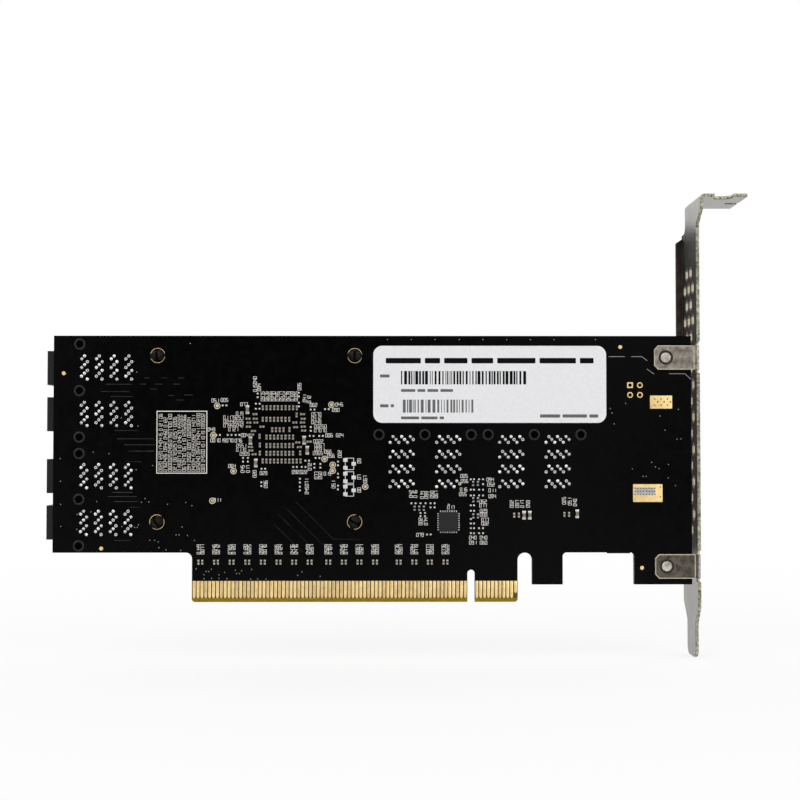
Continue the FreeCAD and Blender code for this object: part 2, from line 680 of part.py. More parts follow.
def bracket():
    """Folded sheet: plate, top flange, stiffening lip, two board tabs, vents and foot."""
    body = new_body("bracket")
    inner = "board_front + bracket_gap"
    outer = f"{inner} + sheet_thickness"
    near = "(0 - board_thickness / 2 - sheet_thickness)"
    far = f"({near} + bracket_width)"
    flange_near = f"({near} - flange_overhang)"
    flange_far = f"({far} - flange_inset)"
    foot = "bracket_foot"
    flange_under = "bracket_top - sheet_thickness"
    flange_end = f"{outer} + flange_length"
    spare = "sheet_thickness"

    fold = new_sketch(body, "XZ_Plane", f"0 - {flange_near}")
    polygon(fold, [
        (inner, foot),
        (outer, foot),
        (outer, flange_under),
        (flange_end, flange_under),
        (flange_end, "bracket_top"),
        (inner, "bracket_top"),
    ])
    pad(body, fold, f"{far} - {flange_near}", backwards=True)
    round_edges(body, 1, [(outer, flange_under)], "bend_radius")
    round_edges(body, 1, [(inner, "bracket_top")], "bend_radius + sheet_thickness")

    trim = new_sketch(body, "YZ_Plane")
    tongue_near = f"({near} + bracket_tongue_from_edge)"
    tongue_far = f"({tongue_near} + bracket_tongue_width)"
    taper_low = f"{foot} + bracket_tongue_length"
    taper_high = f"{taper_low} + bracket_taper"
    overhang_top = "bracket_top - overhang_drop"
    overhang_foot = f"{overhang_top} - overhang_slope"
    inset_foot = "bracket_top - inset_drop"
    polygon(trim, [
        (f"{flange_near} - {spare}", f"{foot} - {spare}"),
        (tongue_near, f"{foot} - {spare}"),
        (tongue_near, taper_low),
        (near, taper_high),
        (near, overhang_foot),
        (flange_near, overhang_top),
        (f"{flange_near} - {spare}", overhang_top),
    ])
    polygon(trim, [
        (tongue_far, f"{foot} - {spare}"),
        (f"{far} + {spare}", f"{foot} - {spare}"),
        (f"{far} + {spare}", taper_high),
        (far, taper_high),
        (tongue_far, taper_low),
    ])
    rectangle(trim, flange_far, f"{far} + {spare}", inset_foot, f"bracket_top + {spare}")
    cut_through(body, trim, backwards=True)
    round_edges(body, 0, [(flange_far, inset_foot)], "inset_round")
    round_edges(body, 0, [(tongue_near, foot), (tongue_far, foot)], "bracket_tip_round")

    notches = new_sketch(body, "XY_Plane", flange_under)
    notch_x = f"({outer} + flange_notch_from_face)"
    slot_y = f"({flange_near} + flange_slot_from_edge)"
    rectangle(notches, f"{notch_x} - flange_notch_width / 2", f"{notch_x} + flange_notch_width / 2",
              f"{flange_near} - {spare}", f"{flange_near} + flange_notch_depth - flange_notch_width / 2")
    centred_rectangle(notches, f"({flange_end} - flange_slot_length / 2 + {spare} / 2)", slot_y,
                      f"flange_slot_length + {spare}", "flange_slot_width")
    pocket(body, notches, "sheet_thickness", backwards=True)
    notch_end = new_sketch(body, "XY_Plane", flange_under)
    circle(notch_end, notch_x, f"{flange_near} + flange_notch_depth - flange_notch_width / 2",
           "flange_notch_width / 2")
    pocket(body, notch_end, "sheet_thickness", backwards=True)

    lip = new_sketch(body, "XZ_Plane", f"0 - {far}")
    polygon(lip, [
        (inner, "lip_bottom"),
        (inner, "lip_top"),
        (f"{inner} - lip_depth", "lip_top - lip_slope"),
        (f"{inner} - lip_depth", "lip_bottom + lip_slope"),
    ])
    pad(body, lip, "sheet_thickness")

    tab_end = f"{inner} - tab_reach - bracket_gap"
    for height in SCREW_HEIGHTS:
        tab_low = f"{height} - tab_height / 2"
        tab_high = f"{height} + tab_height / 2"
        tab = new_sketch(body, "XZ_Plane", f"0 - {near}")
        polygon(tab, [
            (inner, tab_low),
            (inner, tab_high),
            (f"{tab_end} + tab_corner", tab_high),
            (tab_end, f"{tab_high} - tab_corner"),
            (tab_end, f"{tab_low} + tab_corner"),
            (f"{tab_end} + tab_corner", tab_low),
        ])
        pad(body, tab, "sheet_thickness", backwards=True)
        reliefs = new_sketch(body, "YZ_Plane", inner)
        for low, high in ((f"{tab_low} - relief_width", tab_low), (tab_high, f"{tab_high} + relief_width")):
            rectangle(reliefs, f"{near} - {spare}", f"{near} + relief_depth", low, high)
        pocket(body, reliefs, "sheet_thickness", backwards=True)
        round_edges(body, 2, [(outer, near, height)], "tab_bend_round")
    tab_holes = new_sketch(body, "XZ_Plane", f"0 - {near}")
    for height in SCREW_HEIGHTS:
        circle(tab_holes, SCREW_X, height, "tab_hole_radius")
    pocket(body, tab_holes, "sheet_thickness")

    middle = f"({near} + vent_from_edge)"
    rows_of_two = (f"({middle} - vent_column_pitch / 2)", "vent_top", "2", "vent_rows_of_two")
    rows_of_three = (f"({middle} - vent_column_pitch)", "vent_top - vent_row_pitch", "3",
                     "(vent_rows_of_two - 1)")
    for column, level, columns, rows in (rows_of_two, rows_of_three):
        vent = new_sketch(body, "YZ_Plane", inner)
        even_sided(vent, column, level, "vent_radius", VENT_SIDES)
        opening = pocket(body, vent, "sheet_thickness", backwards=True)
        down = ("Z_Axis", "2 * vent_row_pitch", rows)
        vents = repeat(body, [opening], "Y_Axis", "vent_column_pitch", columns, down)
        vents.Reversed2 = True
    return keep(body, "bracket")


# Turns a piece so that its own Z points out of the component side
OUT_OF_BOARD = FreeCAD.Rotation(FreeCAD.Vector(1, 0, 0), -90)


def bracket_screws():
    """Two pan-head screws through the board into the bracket's tabs."""
    body = new_body("bracket_screws")
    head = new_sketch(body, "XY_Plane")
    circle(head, "0", "0", "screw_head_radius")
    pad(body, head, "screw_head_height")
    shank = new_sketch(body, "XY_Plane")
    even_sided(shank, "0", "0", "screw_radius", HOLE_SIDES)
    pad(body, shank, "board_thickness + sheet_thickness + screw_proud", backwards=True)
    repeat(body, [], "Y_Axis", "upper_screw_height - lower_screw_height", "2")
    place(body, SCREW_X, COMPONENT_FACE, "upper_screw_height", OUT_OF_BOARD)
    return keep(body, "bracket_screws")


SINK_LIFT = "substrate_height + lid_height + thermal_pad_height"


def switch_chip():
    chip_place = ("chip_centre_x", "chip_centre_z")
    substrate = on_component_side(*chip_place, "substrate_side", "substrate_side", "substrate_height")
    keep(substrate, "switch_chip_substrate")
    lid = on_component_side(*chip_place, "lid_side", "lid_side", "lid_height", "substrate_height")
    keep(lid, "switch_chip_lid")
    lift = "substrate_height + lid_height"
    gap_filler = on_component_side(*chip_place, "lid_side", "lid_side", "thermal_pad_height", lift)
    keep(gap_filler, "thermal_pad")


def heatsink():
    """Base plate with straight fins along the card and open corners for the push pins."""
    body = new_body("heatsink")
    underside = f"0 - board_thickness / 2 - ({SINK_LIFT})"
    fin_root = f"{underside} - sink_base"
    left, right = "sink_rear", "sink_front"
    bottom = "sink_centre_z - sink_width / 2"
    top = "sink_centre_z + sink_width / 2"
    base = new_sketch(body, "XZ_Plane", underside)
    rectangle(base, left, right, bottom, top)
    pad(body, base, "sink_base", backwards=True)
    fin = new_sketch(body, "XZ_Plane", fin_root)
    rectangle(fin, left, right, bottom, f"{bottom} + fin_thickness")
    fin_pad = pad(body, fin, "fin_height", backwards=True)
    repeat(body, [fin_pad], "Z_Axis", "(sink_width - fin_thickness) / (fin_count - 1)", "fin_count")
    corners = new_sketch(body, "XZ_Plane", fin_root)
    for x in (left, right):
        for z in (bottom, top):
            centred_rectangle(corners, x, z, "2 * sink_corner", "2 * sink_corner")
    pocket(body, corners, "fin_height")
    holes = new_sketch(body, "XZ_Plane", underside)
    for pin_x, pin_z in PUSH_PINS:
        even_sided(holes, pin_x, pin_z, "push_pin_hole_radius", HOLE_SIDES)
    body.Tip = pocket(body, holes, "sink_base")
    return keep(body, "heatsink")


PUSH_PIN_HEAD_SIDES = 12


def push_pins():
    """Flat two-pronged pins that clamp the heatsink; heights are measured from the solder side."""
    body = new_body("push_pins")
    head_foot = f"(board_thickness + {SINK_LIFT} + sink_base + spring_height)"
    head = new_sketch(body, "XY_Plane", head_foot)
    even_sided(head, "0", "0", "push_pin_head_radius", PUSH_PIN_HEAD_SIDES)
    pad(body, head, "push_pin_head_height")
    prongs = new_sketch(body, "XZ_Plane")
    right_half = [
        ("push_pin_slot / 2", "push_pin_slot_depth"),
        ("push_pin_slot / 2", "0 - barb_height - barb_gap"),
        ("barb_tip_width / 2", "0 - barb_height - barb_gap"),
        ("barb_width / 2", "0 - barb_gap"),
        ("push_pin_width / 2", "0 - barb_gap"),
        ("push_pin_width / 2", head_foot),
    ]
    left_half = [(f"0 - {x}", z) for x, z in reversed(right_half)]
    polygon(prongs, right_half + left_half)
    blade = pad(body, prongs, "push_pin_thickness")
    blade.SideType = "Symmetric"
    across = ("X_Axis", "push_pin_span_x", "2")
    repeat(body, [], "Y_Axis", "push_pin_span_z", "2", across)
    first_x, first_z = PUSH_PINS[1]
    place(body, first_x, SOLDER_FACE, first_z, OUT_OF_BOARD)
    return keep(body, "push_pins")


COIL_SIDES = 5
# Room for the two cut ends of the spring wire, as a share of the wire, because the wire leaves at a slant
SPRING_END = 1.3


def push_pin_springs():
    """Square-wire coils with a few straight sides a turn, each round one push pin under its head."""
    wire = number("spring_wire")
    radius = number("spring_bore_radius + spring_wire / 2") / math.cos(math.pi / COIL_SIDES)
    steps = int(number("spring_turns")) * COIL_SIDES
    rise = (number("spring_height") - SPRING_END * wire) / steps
    points = []
    for step in range(steps + 1):
        angle = math.tau * step / COIL_SIDES
        height = SPRING_END * wire / 2 + rise * step
        points.append(FreeCAD.Vector(radius * math.cos(angle), radius * math.sin(angle), height))
    path = Part.makePolygon(points)
    heading = (points[1] - points[0]).normalize()
    outward = FreeCAD.Vector(1, 0, 0)
    upward = heading.cross(outward).normalize()
    outward = upward.cross(heading).normalize()
    reach = wire / 2
    signs = ((-1, -1), (1, -1), (1, 1), (-1, 1), (-1, -1))
    section = Part.makePolygon([points[0] + outward * (reach * a) + upward * (reach * b) for a, b in signs])
    coil = path.makePipeShell([section], True, False, 1)
    coils = []
    seat_y = number(f"{COMPONENT_FACE} + {SINK_LIFT} + sink_base")
    for pin_x, pin_z in PUSH_PINS:
        copy = coil.copy()
        seat = FreeCAD.Vector(number(pin_x), seat_y, number(pin_z))
        copy.Placement = FreeCAD.Placement(seat, OUT_OF_BOARD)
        coils.append(copy)
    springs = doc.addObject("Part::Feature", "push_pin_springs_shape")
    springs.Shape = Part.makeCompound(coils)
    springs.Placement = FreeCAD.Placement()
    return keep(springs, "push_pin_springs")


def label():
    body = new_body("label")
    sheet_sketch = new_sketch(body, "XZ_Plane", "board_thickness / 2")
    right = "label_left + label_length"
    top = "label_bottom + label_width"
    rectangle(sheet_sketch, "label_left", right, "label_bottom", top)
    pad(body, sheet_sketch, "label_thickness")
    corners = [(x, z) for x in ("label_left", right) for z in ("label_bottom", top)]
    round_edges(body, 1, corners, "label_corner")
    return keep(body, "label")


# Rows of small capacitors behind the switch chip: height above its middle, offset along the row, and counts
DECOUPLING_ROWS = [(7.2, 0), (4.2, -1), (1.5, -0.5), (-0.4, 0), (-2.6, 0), (-4.6, 0), (-6.6, 0)]
DECOUPLING_COUNTS = (10, 8, 4, 8, 8, 8, 10)
# Larger capacitors among those rows: places from the middle of the switch chip
BULK_CAPACITORS = [(-8.4, 6.7), (-7.6, -1.3), (6.3, -1.2), (7.1, -3.8), (-6.2, -7.1)]
# Groups of coupling capacitors above the edge contacts: the first pair of each, and counts of pairs
COUPLING_GROUPS = ("coupling_first", "coupling_second", "coupling_third")
COUPLING_COUNTS = (8, 4, 4)
# Small resistors round the monitor chip: places from its middle
CHIP_RESISTORS = [(-8.8, 3.5), (-7.6, 3.5), (-6.4, 3.5), (6.4, 9.9), (7.6, 9.9), (6.4, 5.7), (7.6, 5.7),
                  (6.4, 1.5), (7.6, 1.5), (17.0, 1.7), (18.2, 1.7), (30.0, 1.9), (31.2, 1.9)]


def chip_on_end(x, z):
    """A small two-ended chip on the solder side, with its length upright."""
    return on_solder_side(x, z, "chip_cap_width", "chip_cap_length", "chip_cap_height")


def small_parts_on_solder_side():
    decoupling = []
    for (rise, shift), count in zip(DECOUPLING_ROWS, DECOUPLING_COUNTS):
        for index in range(count):
            x = f"chip_centre_x + {shift} + chip_cap_pitch * {index - (count - 1) / 2}"
            decoupling.append(chip_on_end(x, f"chip_centre_z + {rise}"))
    group("decoupling_capacitors", decoupling)
    coupling = []
    for first, count in zip(COUPLING_GROUPS, COUPLING_COUNTS):
        for index in range(count):
            for side in ("- chip_cap_pitch / 2", "+ chip_cap_pitch / 2"):
                x = f"{first} + coupling_pair_pitch * {index} {side}"
                coupling.append(chip_on_end(x, "coupling_cap_height"))
    group("coupling_capacitors", coupling)
    bulk = []
    for x, z in BULK_CAPACITORS:
        bulk_place = (f"chip_centre_x + {x}", f"chip_centre_z + {z}")
        bulk.append(on_solder_side(*bulk_place, "bulk_cap_width", "bulk_cap_length", "bulk_cap_height"))
    group("bulk_capacitors", bulk)
    resistors = [chip_on_end(f"monitor_chip_x + {x}", f"monitor_chip_z + {z}") for x, z in CHIP_RESISTORS]
    group("chip_resistors", resistors)
    monitor = on_solder_side("monitor_chip_x", "monitor_chip_z", "monitor_chip_side", "monitor_chip_side",
                             "monitor_chip_height")
    keep(monitor, "monitor_chip")


# Heights on the board of the parts in the power section
INDUCTORS = (22.0, 34.0, 54.0)
TANTALUMS = (20.0, 27.0, 34.0, 46.0, 53.0)
POWER_STAGES = (14.9, 41.2, 61.0)


def power_inductors():
    body = new_body("power_inductors")
    half, cut = "inductor_side / 2", "inductor_corner"
    plan = new_sketch(body, "XZ_Plane", "0 - board_thickness / 2")
    left, right = f"inductor_x - {half}", f"inductor_x + {half}"
    for level in INDUCTORS:
        low, high = f"{level} - {half}", f"{level} + {half}"
        polygon(plan, [
            (f"{left} + {cut}", low),
            (f"{right} - {cut}", low),
            (right, f"{low} + {cut}"),
            (right, f"{high} - {cut}"),
            (f"{right} - {cut}", high),
            (f"{left} + {cut}", high),
            (left, f"{high} - {cut}"),
            (left, f"{low} + {cut}"),
        ])
    pad(body, plan, "inductor_height", backwards=True)
    return keep(body, "power_inductors")


def parts_on_component_side():
    tantalum = ("tantalum_length", "tantalum_width", "tantalum_height")
    group("tantalum_capacitors", [on_component_side("tantalum_x", level, *tantalum) for level in TANTALUMS])
    stage = ("power_stage_length", "power_stage_width", "power_stage_height")
    group("power_stages", [on_component_side("inductor_x", level, *stage) for level in POWER_STAGES])
    clock = on_component_side("clock_x", "clock_row_z", "clock_side", "clock_side", "clock_height")
    keep(clock, "clock_chip")
    oscillator_size = ("oscillator_length", "oscillator_width", "oscillator_height")
    keep(on_component_side("oscillator_x", "clock_row_z", *oscillator_size), "oscillator")
    memory = on_component_side("memory_x", "clock_row_z", "memory_length", "memory_width", "memory_height")
    keep(memory, "memory_chip")
    lead = ("memory_lead_width", "memory_lead_reach", "memory_lead_height")
    leads = []
    for side in "-+":
        for index in range(4):
            x = f"memory_x + memory_lead_pitch * ({index} - 1.5)"
            z = f"clock_row_z {side} (memory_width + memory_lead_reach) / 2"
            leads.append(on_component_side(x, z, *lead))
    group("memory_chip_leads", leads)


circuit_board()
edge_contacts("edge_contacts_solder_side", SOLDER_FACE, "-",
              "contact_from_key + contact_pitch * (front_contact_count - 1)")
edge_contacts("edge_contacts_component_side", COMPONENT_FACE, "+",
              "contact_pitch * (2 - rear_contact_count) - contact_from_key")
for connector in CONNECTORS:
    connector_housing(*connector)
    contact_wafers(*connector)
    pin_tails(*connector)
bracket()
bracket_screws()
switch_chip()
heatsink()
push_pins()
push_pin_springs()
label()
small_parts_on_solder_side()
power_inductors()
parts_on_component_side()
doc.recompute()

for thing in doc.Objects:
    if "Invalid" in thing.State or "Error" in thing.State:
        raise RuntimeError(f"{thing.Label} failed: {thing.State}")
for part in sub_parts:
    if part.Shape.isNull() or not part.Shape.isValid():
        raise RuntimeError(f"{part.Label} has no sound shape")

os.makedirs("parts", exist_ok=True)
for part in sub_parts:
    part.Shape.exportStep(f"parts/{part.Label}.step")
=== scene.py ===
from itertools import product
from math import cos, dist, pi, radians, sin, tau
from random import Random

import bmesh
import bpy
from mathutils import Matrix, Vector


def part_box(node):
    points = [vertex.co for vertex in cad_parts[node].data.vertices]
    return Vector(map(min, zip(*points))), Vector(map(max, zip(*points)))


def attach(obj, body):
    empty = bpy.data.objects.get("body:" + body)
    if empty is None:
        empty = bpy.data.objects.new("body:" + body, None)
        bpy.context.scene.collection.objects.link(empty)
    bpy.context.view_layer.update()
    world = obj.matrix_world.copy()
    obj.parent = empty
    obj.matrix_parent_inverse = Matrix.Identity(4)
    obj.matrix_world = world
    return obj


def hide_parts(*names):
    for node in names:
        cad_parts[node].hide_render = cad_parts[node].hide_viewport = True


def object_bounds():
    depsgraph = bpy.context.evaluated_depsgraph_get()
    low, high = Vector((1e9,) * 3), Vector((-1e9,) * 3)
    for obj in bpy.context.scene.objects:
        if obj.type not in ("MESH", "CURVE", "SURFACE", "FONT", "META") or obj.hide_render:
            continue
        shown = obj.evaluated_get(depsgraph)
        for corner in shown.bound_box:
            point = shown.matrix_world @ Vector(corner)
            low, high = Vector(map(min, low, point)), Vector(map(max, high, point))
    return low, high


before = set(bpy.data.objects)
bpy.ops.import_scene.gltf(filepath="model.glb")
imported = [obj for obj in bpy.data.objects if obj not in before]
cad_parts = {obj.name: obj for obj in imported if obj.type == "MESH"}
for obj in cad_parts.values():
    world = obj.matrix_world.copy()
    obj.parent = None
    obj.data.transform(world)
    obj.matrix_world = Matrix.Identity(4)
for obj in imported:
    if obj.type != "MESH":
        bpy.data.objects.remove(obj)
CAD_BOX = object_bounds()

# Lengths are millimetres until a mesh is made, and metres after that
MM = 0.001
HALF_BOARD = 0.785

# The camera of the photograph
EYE = Vector((-21.21, -379.377, 40.46))
AIM = Vector((-18.36, 0, 52.25))
LENS, SENSOR, PICTURE = 65.7, 36, 800


# Materials

def feed(tree, node, inputs):
    """Set or link each input of a node."""
    for name, value in inputs.items():
        if isinstance(value, bpy.types.NodeSocket):
            tree.links.new(value, node.inputs[name])
        else:
            node.inputs[name].default_value = value


def add(tree, kind, inputs=None, **settings):
    """Add a node and give its outputs."""
    node = tree.nodes.new("ShaderNode" + kind)
    for name, value in settings.items():
        setattr(node, name, value)
    feed(tree, node, inputs or {})
    return node.outputs


def combine(tree, operation, *values):
    return add(tree, "Math", dict(enumerate(values)), operation=operation)["Value"]


def shades(tree, share, dark, light, low, high):
    """A colour from dark to light as the share goes from low to high."""
    ramp = tree.nodes.new("ShaderNodeValToRGB")
    for element, position, colour in zip(ramp.color_ramp.elements, (low, high), (dark, light)):
        element.position, element.color = position, (*colour, 1)
    feed(tree, ramp, {"Fac": share})
    return ramp.outputs["Color"]


def surface(name, dark, light, roughness, grain=2500, bump=0.1, depth=0.02, metallic=0, specular=0.5,
            tint=(1, 1, 1, 1), stretch=(1, 1, 1), swing=0.08):
    """A finish whose colour, gloss and relief follow one fine grain."""
    material = bpy.data.materials.new(name)
    material.use_nodes = True
    tree = material.node_tree
    place = add(tree, "Mapping", {"Vector": add(tree, "TexCoord")["Object"], "Scale": stretch})["Vector"]
    noise = add(tree, "TexNoise", {"Vector": place, "Scale": grain, "Detail": 4})["Fac"]
    gloss = {"Value": noise, "To Min": roughness - swing, "To Max": roughness + swing}
    relief = {"Height": noise, "Strength": bump, "Distance": depth * MM}
    feed(tree, tree.nodes["Principled BSDF"], {
        "Base Color": shades(tree, noise, dark, light, 0.3, 0.7), "Metallic": metallic,
        "Roughness": add(tree, "MapRange", gloss)["Result"], "Normal": add(tree, "Bump", relief)["Normal"],
        "Specular IOR Level": specular, "Specular Tint": tint})
    return material


def metal(*look, **more):
    return surface(*look, metallic=1, **more)


def grey(low, high):
    return (low, low, low), (high, high, high)


GOLD = metal("gold", (0.86, 0.62, 0.26), (0.98, 0.77, 0.4), 0.48, 900, swing=0.05)
DULL_GOLD = metal("dull_gold", (0.66, 0.49, 0.22), (0.86, 0.66, 0.36), 0.5, 900)
TIN = metal("tin", *grey(0.52, 0.78), 0.34, 2600, bump=0.25)
BRIGHT_TIN = metal("bright_tin", *grey(0.62, 0.74), 0.6, 2600, bump=0.25)
# Dull metals stay grey at a flat angle, where a new mirror would turn white
DULL = (0.76, 0.75, 0.73, 1)
NICKEL = metal("nickel_sheet", (0.29, 0.282, 0.27), (0.36, 0.355, 0.345), 0.22, 260, bump=0.01,
               tint=DULL, swing=0.03)
ALUMINIUM = metal("aluminium", (0.42, 0.43, 0.44), (0.56, 0.57, 0.58), 0.38, 700, bump=0.3, depth=0.03,
                  tint=DULL, stretch=(0.03, 1, 1))
# Faces of the lower and upper tab: darker copies of nickel, painted shade of the dark room they reflect,
# paler on the upper
LOWER_TAB_SHADE = metal("lower_tab_painted_shade", (0.075, 0.062, 0.052), (0.2, 0.175, 0.145), 0.32, 700)
UPPER_TAB_SHADE = metal("upper_tab_painted_shade", (0.2, 0.175, 0.145), (0.5, 0.455, 0.39), 0.32, 700)
# Inner face of the lip: dark brown nickel, painted shade of the dark room it reflects
LIP_PAINTED_SHADE = metal("lip_painted_shade", (0.055, 0.044, 0.039), (0.1, 0.082, 0.073), 0.26, 260)
# Sheared edges and hole walls: paler raw steel with painted highlight; on the tabs' edges and bends it is all
# painted highlight
SHEARED_AND_HIGHLIGHT = metal("sheared_edge_and_highlight", (0.5, 0.46, 0.33), (0.72, 0.69, 0.54), 0.5, 2200, bump=0.3)
# A dark finish with pale flecks for the sheet's edges that face the near side
MOTTLED_EDGE = metal("mottled_edge", (0.08, 0.075, 0.05), (0.62, 0.6, 0.46), 0.45, 1500, bump=0.3)
# Dark ring round each screw tip: painted shadow of the hole
HOLE_SHADOW = metal("screw_hole_painted_shadow", (0.03, 0.027, 0.022), (0.07, 0.063, 0.05), 0.4, 2200)
SCREW_STEEL = metal("screw_steel", (0.6, 0.57, 0.5), (0.78, 0.75, 0.67), 0.28, 1800)
SPRING_STEEL = metal("spring_steel", *grey(0.4, 0.56), 0.3, 2600)
PLASTIC = surface("moulded_plastic", *grey(0.009, 0.017), 0.52, 3500, bump=0.2, specular=0.2)
WAFER = surface("wafer_plastic", *grey(0.03, 0.045), 0.5, 3000, bump=0.2)
NYLON = surface("nylon", *grey(0.006, 0.012), 0.42, specular=0.15)
PEG = surface("peg_plastic", *grey(0.008, 0.014), 0.3, specular=0.22)
# Near-black disc over the middle of each peg: painted shade of the hole
PEG_HOLE_SHADE = surface("peg_hole_painted_shade", *grey(0.0003, 0.0008), 0.6, specular=0.01)
LAMINATE_GREEN = surface("green_laminate", (0.012, 0.05, 0.025), (0.025, 0.085, 0.045), 0.35, 1200)
SOFT_PAD = surface("thermal_pad", (0.3, 0.33, 0.36), (0.42, 0.45, 0.48), 0.8, 1500, bump=0.4)
PAPER = surface("label_paper", (0.79, 0.79, 0.805), (0.84, 0.84, 0.855), 0.42, 1400, bump=0.06)
CERAMIC = surface("ceramic", (0.15, 0.115, 0.055), (0.27, 0.215, 0.11), 0.45, 3000)
GLAZE = surface("black_glaze", *grey(0.008, 0.016), 0.25)
EPOXY = surface("chip_epoxy", *grey(0.012, 0.022), 0.55, 5000, bump=0.3, specular=0.2)
CORE = surface("powder_core", *grey(0.07, 0.14), 0.6, 6000, bump=0.4)
TANTALUM = surface("tantalum_case", (0.4, 0.25, 0.06), (0.54, 0.36, 0.1), 0.45)
INK = surface("white_ink", (0.8, 0.77, 0.72), (0.92, 0.89, 0.84), 0.6, specular=0.2)
# Black print, and black discs in the header holes and pad vents that are painted shade of the holes
PRINT_AND_HOLE_SHADE = surface("black_print_and_hole_shade", *grey(0.003, 0.007), 0.6, specular=0.03)
GREY_PRINT = surface("grey_print", *grey(0.1, 0.16), 0.6, specular=0.2)
# Traces under the mask: lighter grey as painted sheen
TRACE_SHEEN = surface("trace_painted_sheen", *grey(0.012, 0.05), 0.35, 300, specular=0.12)
FAINT_TRACE_SHEEN = surface("faint_trace_painted_sheen", *grey(0.002, 0.014), 0.35, 300, specular=0.1)
# Tented vias; the bright traces take it as painted sheen
VIA_TONE_AND_TRACE_SHEEN = surface("tented_copper_and_trace_sheen", (0.17, 0.17, 0.16), (0.36, 0.35, 0.33), 0.4, 2400, specular=0.3)
CARD_GREY = surface("dark_card", (0.022, 0.018, 0.014), (0.034, 0.028, 0.022), 0.9, 20)

# Limits of the bare part of the board, in metres
TONGUE_END, MASK_FOOT, BEVEL_TOP, BARE_BLUR = 0.0123, 0.0055, 0.0011, 0.00006


def board_finish():
    """Black solder mask, with bare laminate behind the contacts, on their bevel and on the sawn edges."""
    material = surface("solder_mask", *grey(0.0004, 0.0009), 0.3, 500, bump=0.03, specular=0.07)
    tree = material.node_tree
    place = add(tree, "TexCoord")
    point = add(tree, "SeparateXYZ", {"Vector": place["Object"]})
    facing = add(tree, "SeparateXYZ", {"Vector": place["Normal"]})["Y"]

    def below(value, limit, blur):
        edge = {"Value": value, "From Min": limit + blur, "From Max": limit - blur}
        return add(tree, "MapRange", edge)["Result"]

    def paint(under, dark, light, grain, where):
        noise = add(tree, "TexNoise", {"Vector": place["Object"], "Scale": grain})["Fac"]
        over = shades(tree, noise, dark, light, 0.35, 0.65)
        return add(tree, "Mix", {"Factor": where, "A": under, "B": over}, data_type="RGBA")["Result"]

    tongue = below(point["X"], TONGUE_END, 0.0001)
    strip = combine(tree, "MULTIPLY", tongue, below(point["Z"], MASK_FOOT, BARE_BLUR))
    bevel = combine(tree, "MULTIPLY", tongue, below(point["Z"], BEVEL_TOP, BARE_BLUR))
    sawn = below(combine(tree, "ABSOLUTE", facing), 0.35, 0.1)
    shader = tree.nodes["Principled BSDF"]
    colour = shader.inputs["Base Color"].links[0].from_socket
    colour = paint(colour, (0.07, 0.042, 0.008), (0.13, 0.085, 0.02), 1600, strip)
    colour = paint(colour, (0.24, 0.15, 0.008), (0.34, 0.22, 0.016), 1600, bevel)
    colour = paint(colour, (0.05, 0.045, 0.02), (0.12, 0.11, 0.05), 2600, sawn)
    feed(tree, shader, {"Base Color": colour})
    return material


CONNECTORS = ("rear_upper", "rear_lower", "top_left", "top_right")
NODE_FINISHES = [
    (board_finish(), "circuit_board"), (SCREW_STEEL, "bracket_screws"), (ALUMINIUM, "heatsink"),
    (GOLD, "edge_contacts_solder_side", "edge_contacts_component_side"), (SOFT_PAD, "thermal_pad"),
    (NICKEL, "bracket", "switch_chip_lid"), (LAMINATE_GREEN, "switch_chip_substrate"), (PAPER, "label"),
    (NYLON, "push_pins"), (SPRING_STEEL, "push_pin_springs"), (GLAZE, "chip_resistors"),
    (CERAMIC, "decoupling_capacitors", "coupling_capacitors", "bulk_capacitors"),
    (EPOXY, "monitor_chip", "power_stages", "clock_chip", "memory_chip"), (CORE, "power_inductors"),
    (TANTALUM, "tantalum_capacitors"), (TIN, "oscillator", "memory_chip_leads")]
for finish, kind in ((PLASTIC, "connector_housing_"), (WAFER, "contact_wafers_"), (TIN, "pin_tails_")):
    NODE_FINISHES.append((finish, *[kind + connector for connector in CONNECTORS]))
for finish, *nodes in NODE_FINISHES:
    for node in nodes:
        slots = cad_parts[node].data.materials
        slots.clear()
        slots.append(finish)


# Shapes: closed skins in a flat frame, with X and Y in its plane and Z out of it

def axes(x, y, z, origin):
    """A frame from its three axes and its origin."""
    return Matrix((*zip(x, y, z, origin), (0, 0, 0, 1)))


# The front is the solder side, which the photograph shows, and the back the component side
FRONT_AXES, BACK_AXES = ((1, 0, 0), (0, 0, 1), (0, -1, 0)), ((-1, 0, 0), (0, 0, 1), (0, 1, 0))
FRONT = axes(*FRONT_AXES, (0, -HALF_BOARD, 0))
BACK = axes(*BACK_AXES, (0, HALF_BOARD, 0))
BOTH = (-1, 1)
SQUARE = ((-1, -1), (1, -1), (1, 1), (-1, 1))


def rounded(width, height, corner, steps=4):
    """Outline of a rectangle about its middle, with rounded corners."""
    points = []
    for turn, (x, y) in enumerate(((1, 1), (-1, 1), (-1, -1), (1, -1))):
        cx, cy = x * (width / 2 - corner), y * (height / 2 - corner)
        for step in range(steps + 1):
            angle = pi / 2 * (turn + step / steps)
            points.append((cx + corner * cos(angle), cy + corner * sin(angle)))
    return points


def around(x, y, turn, points):
    """A flat shape, turned by so many degrees and set about a middle."""
    c, s = cos(radians(turn)), sin(radians(turn))
    return [(x + a * c - b * s, y + a * s + b * c) for a, b in points]


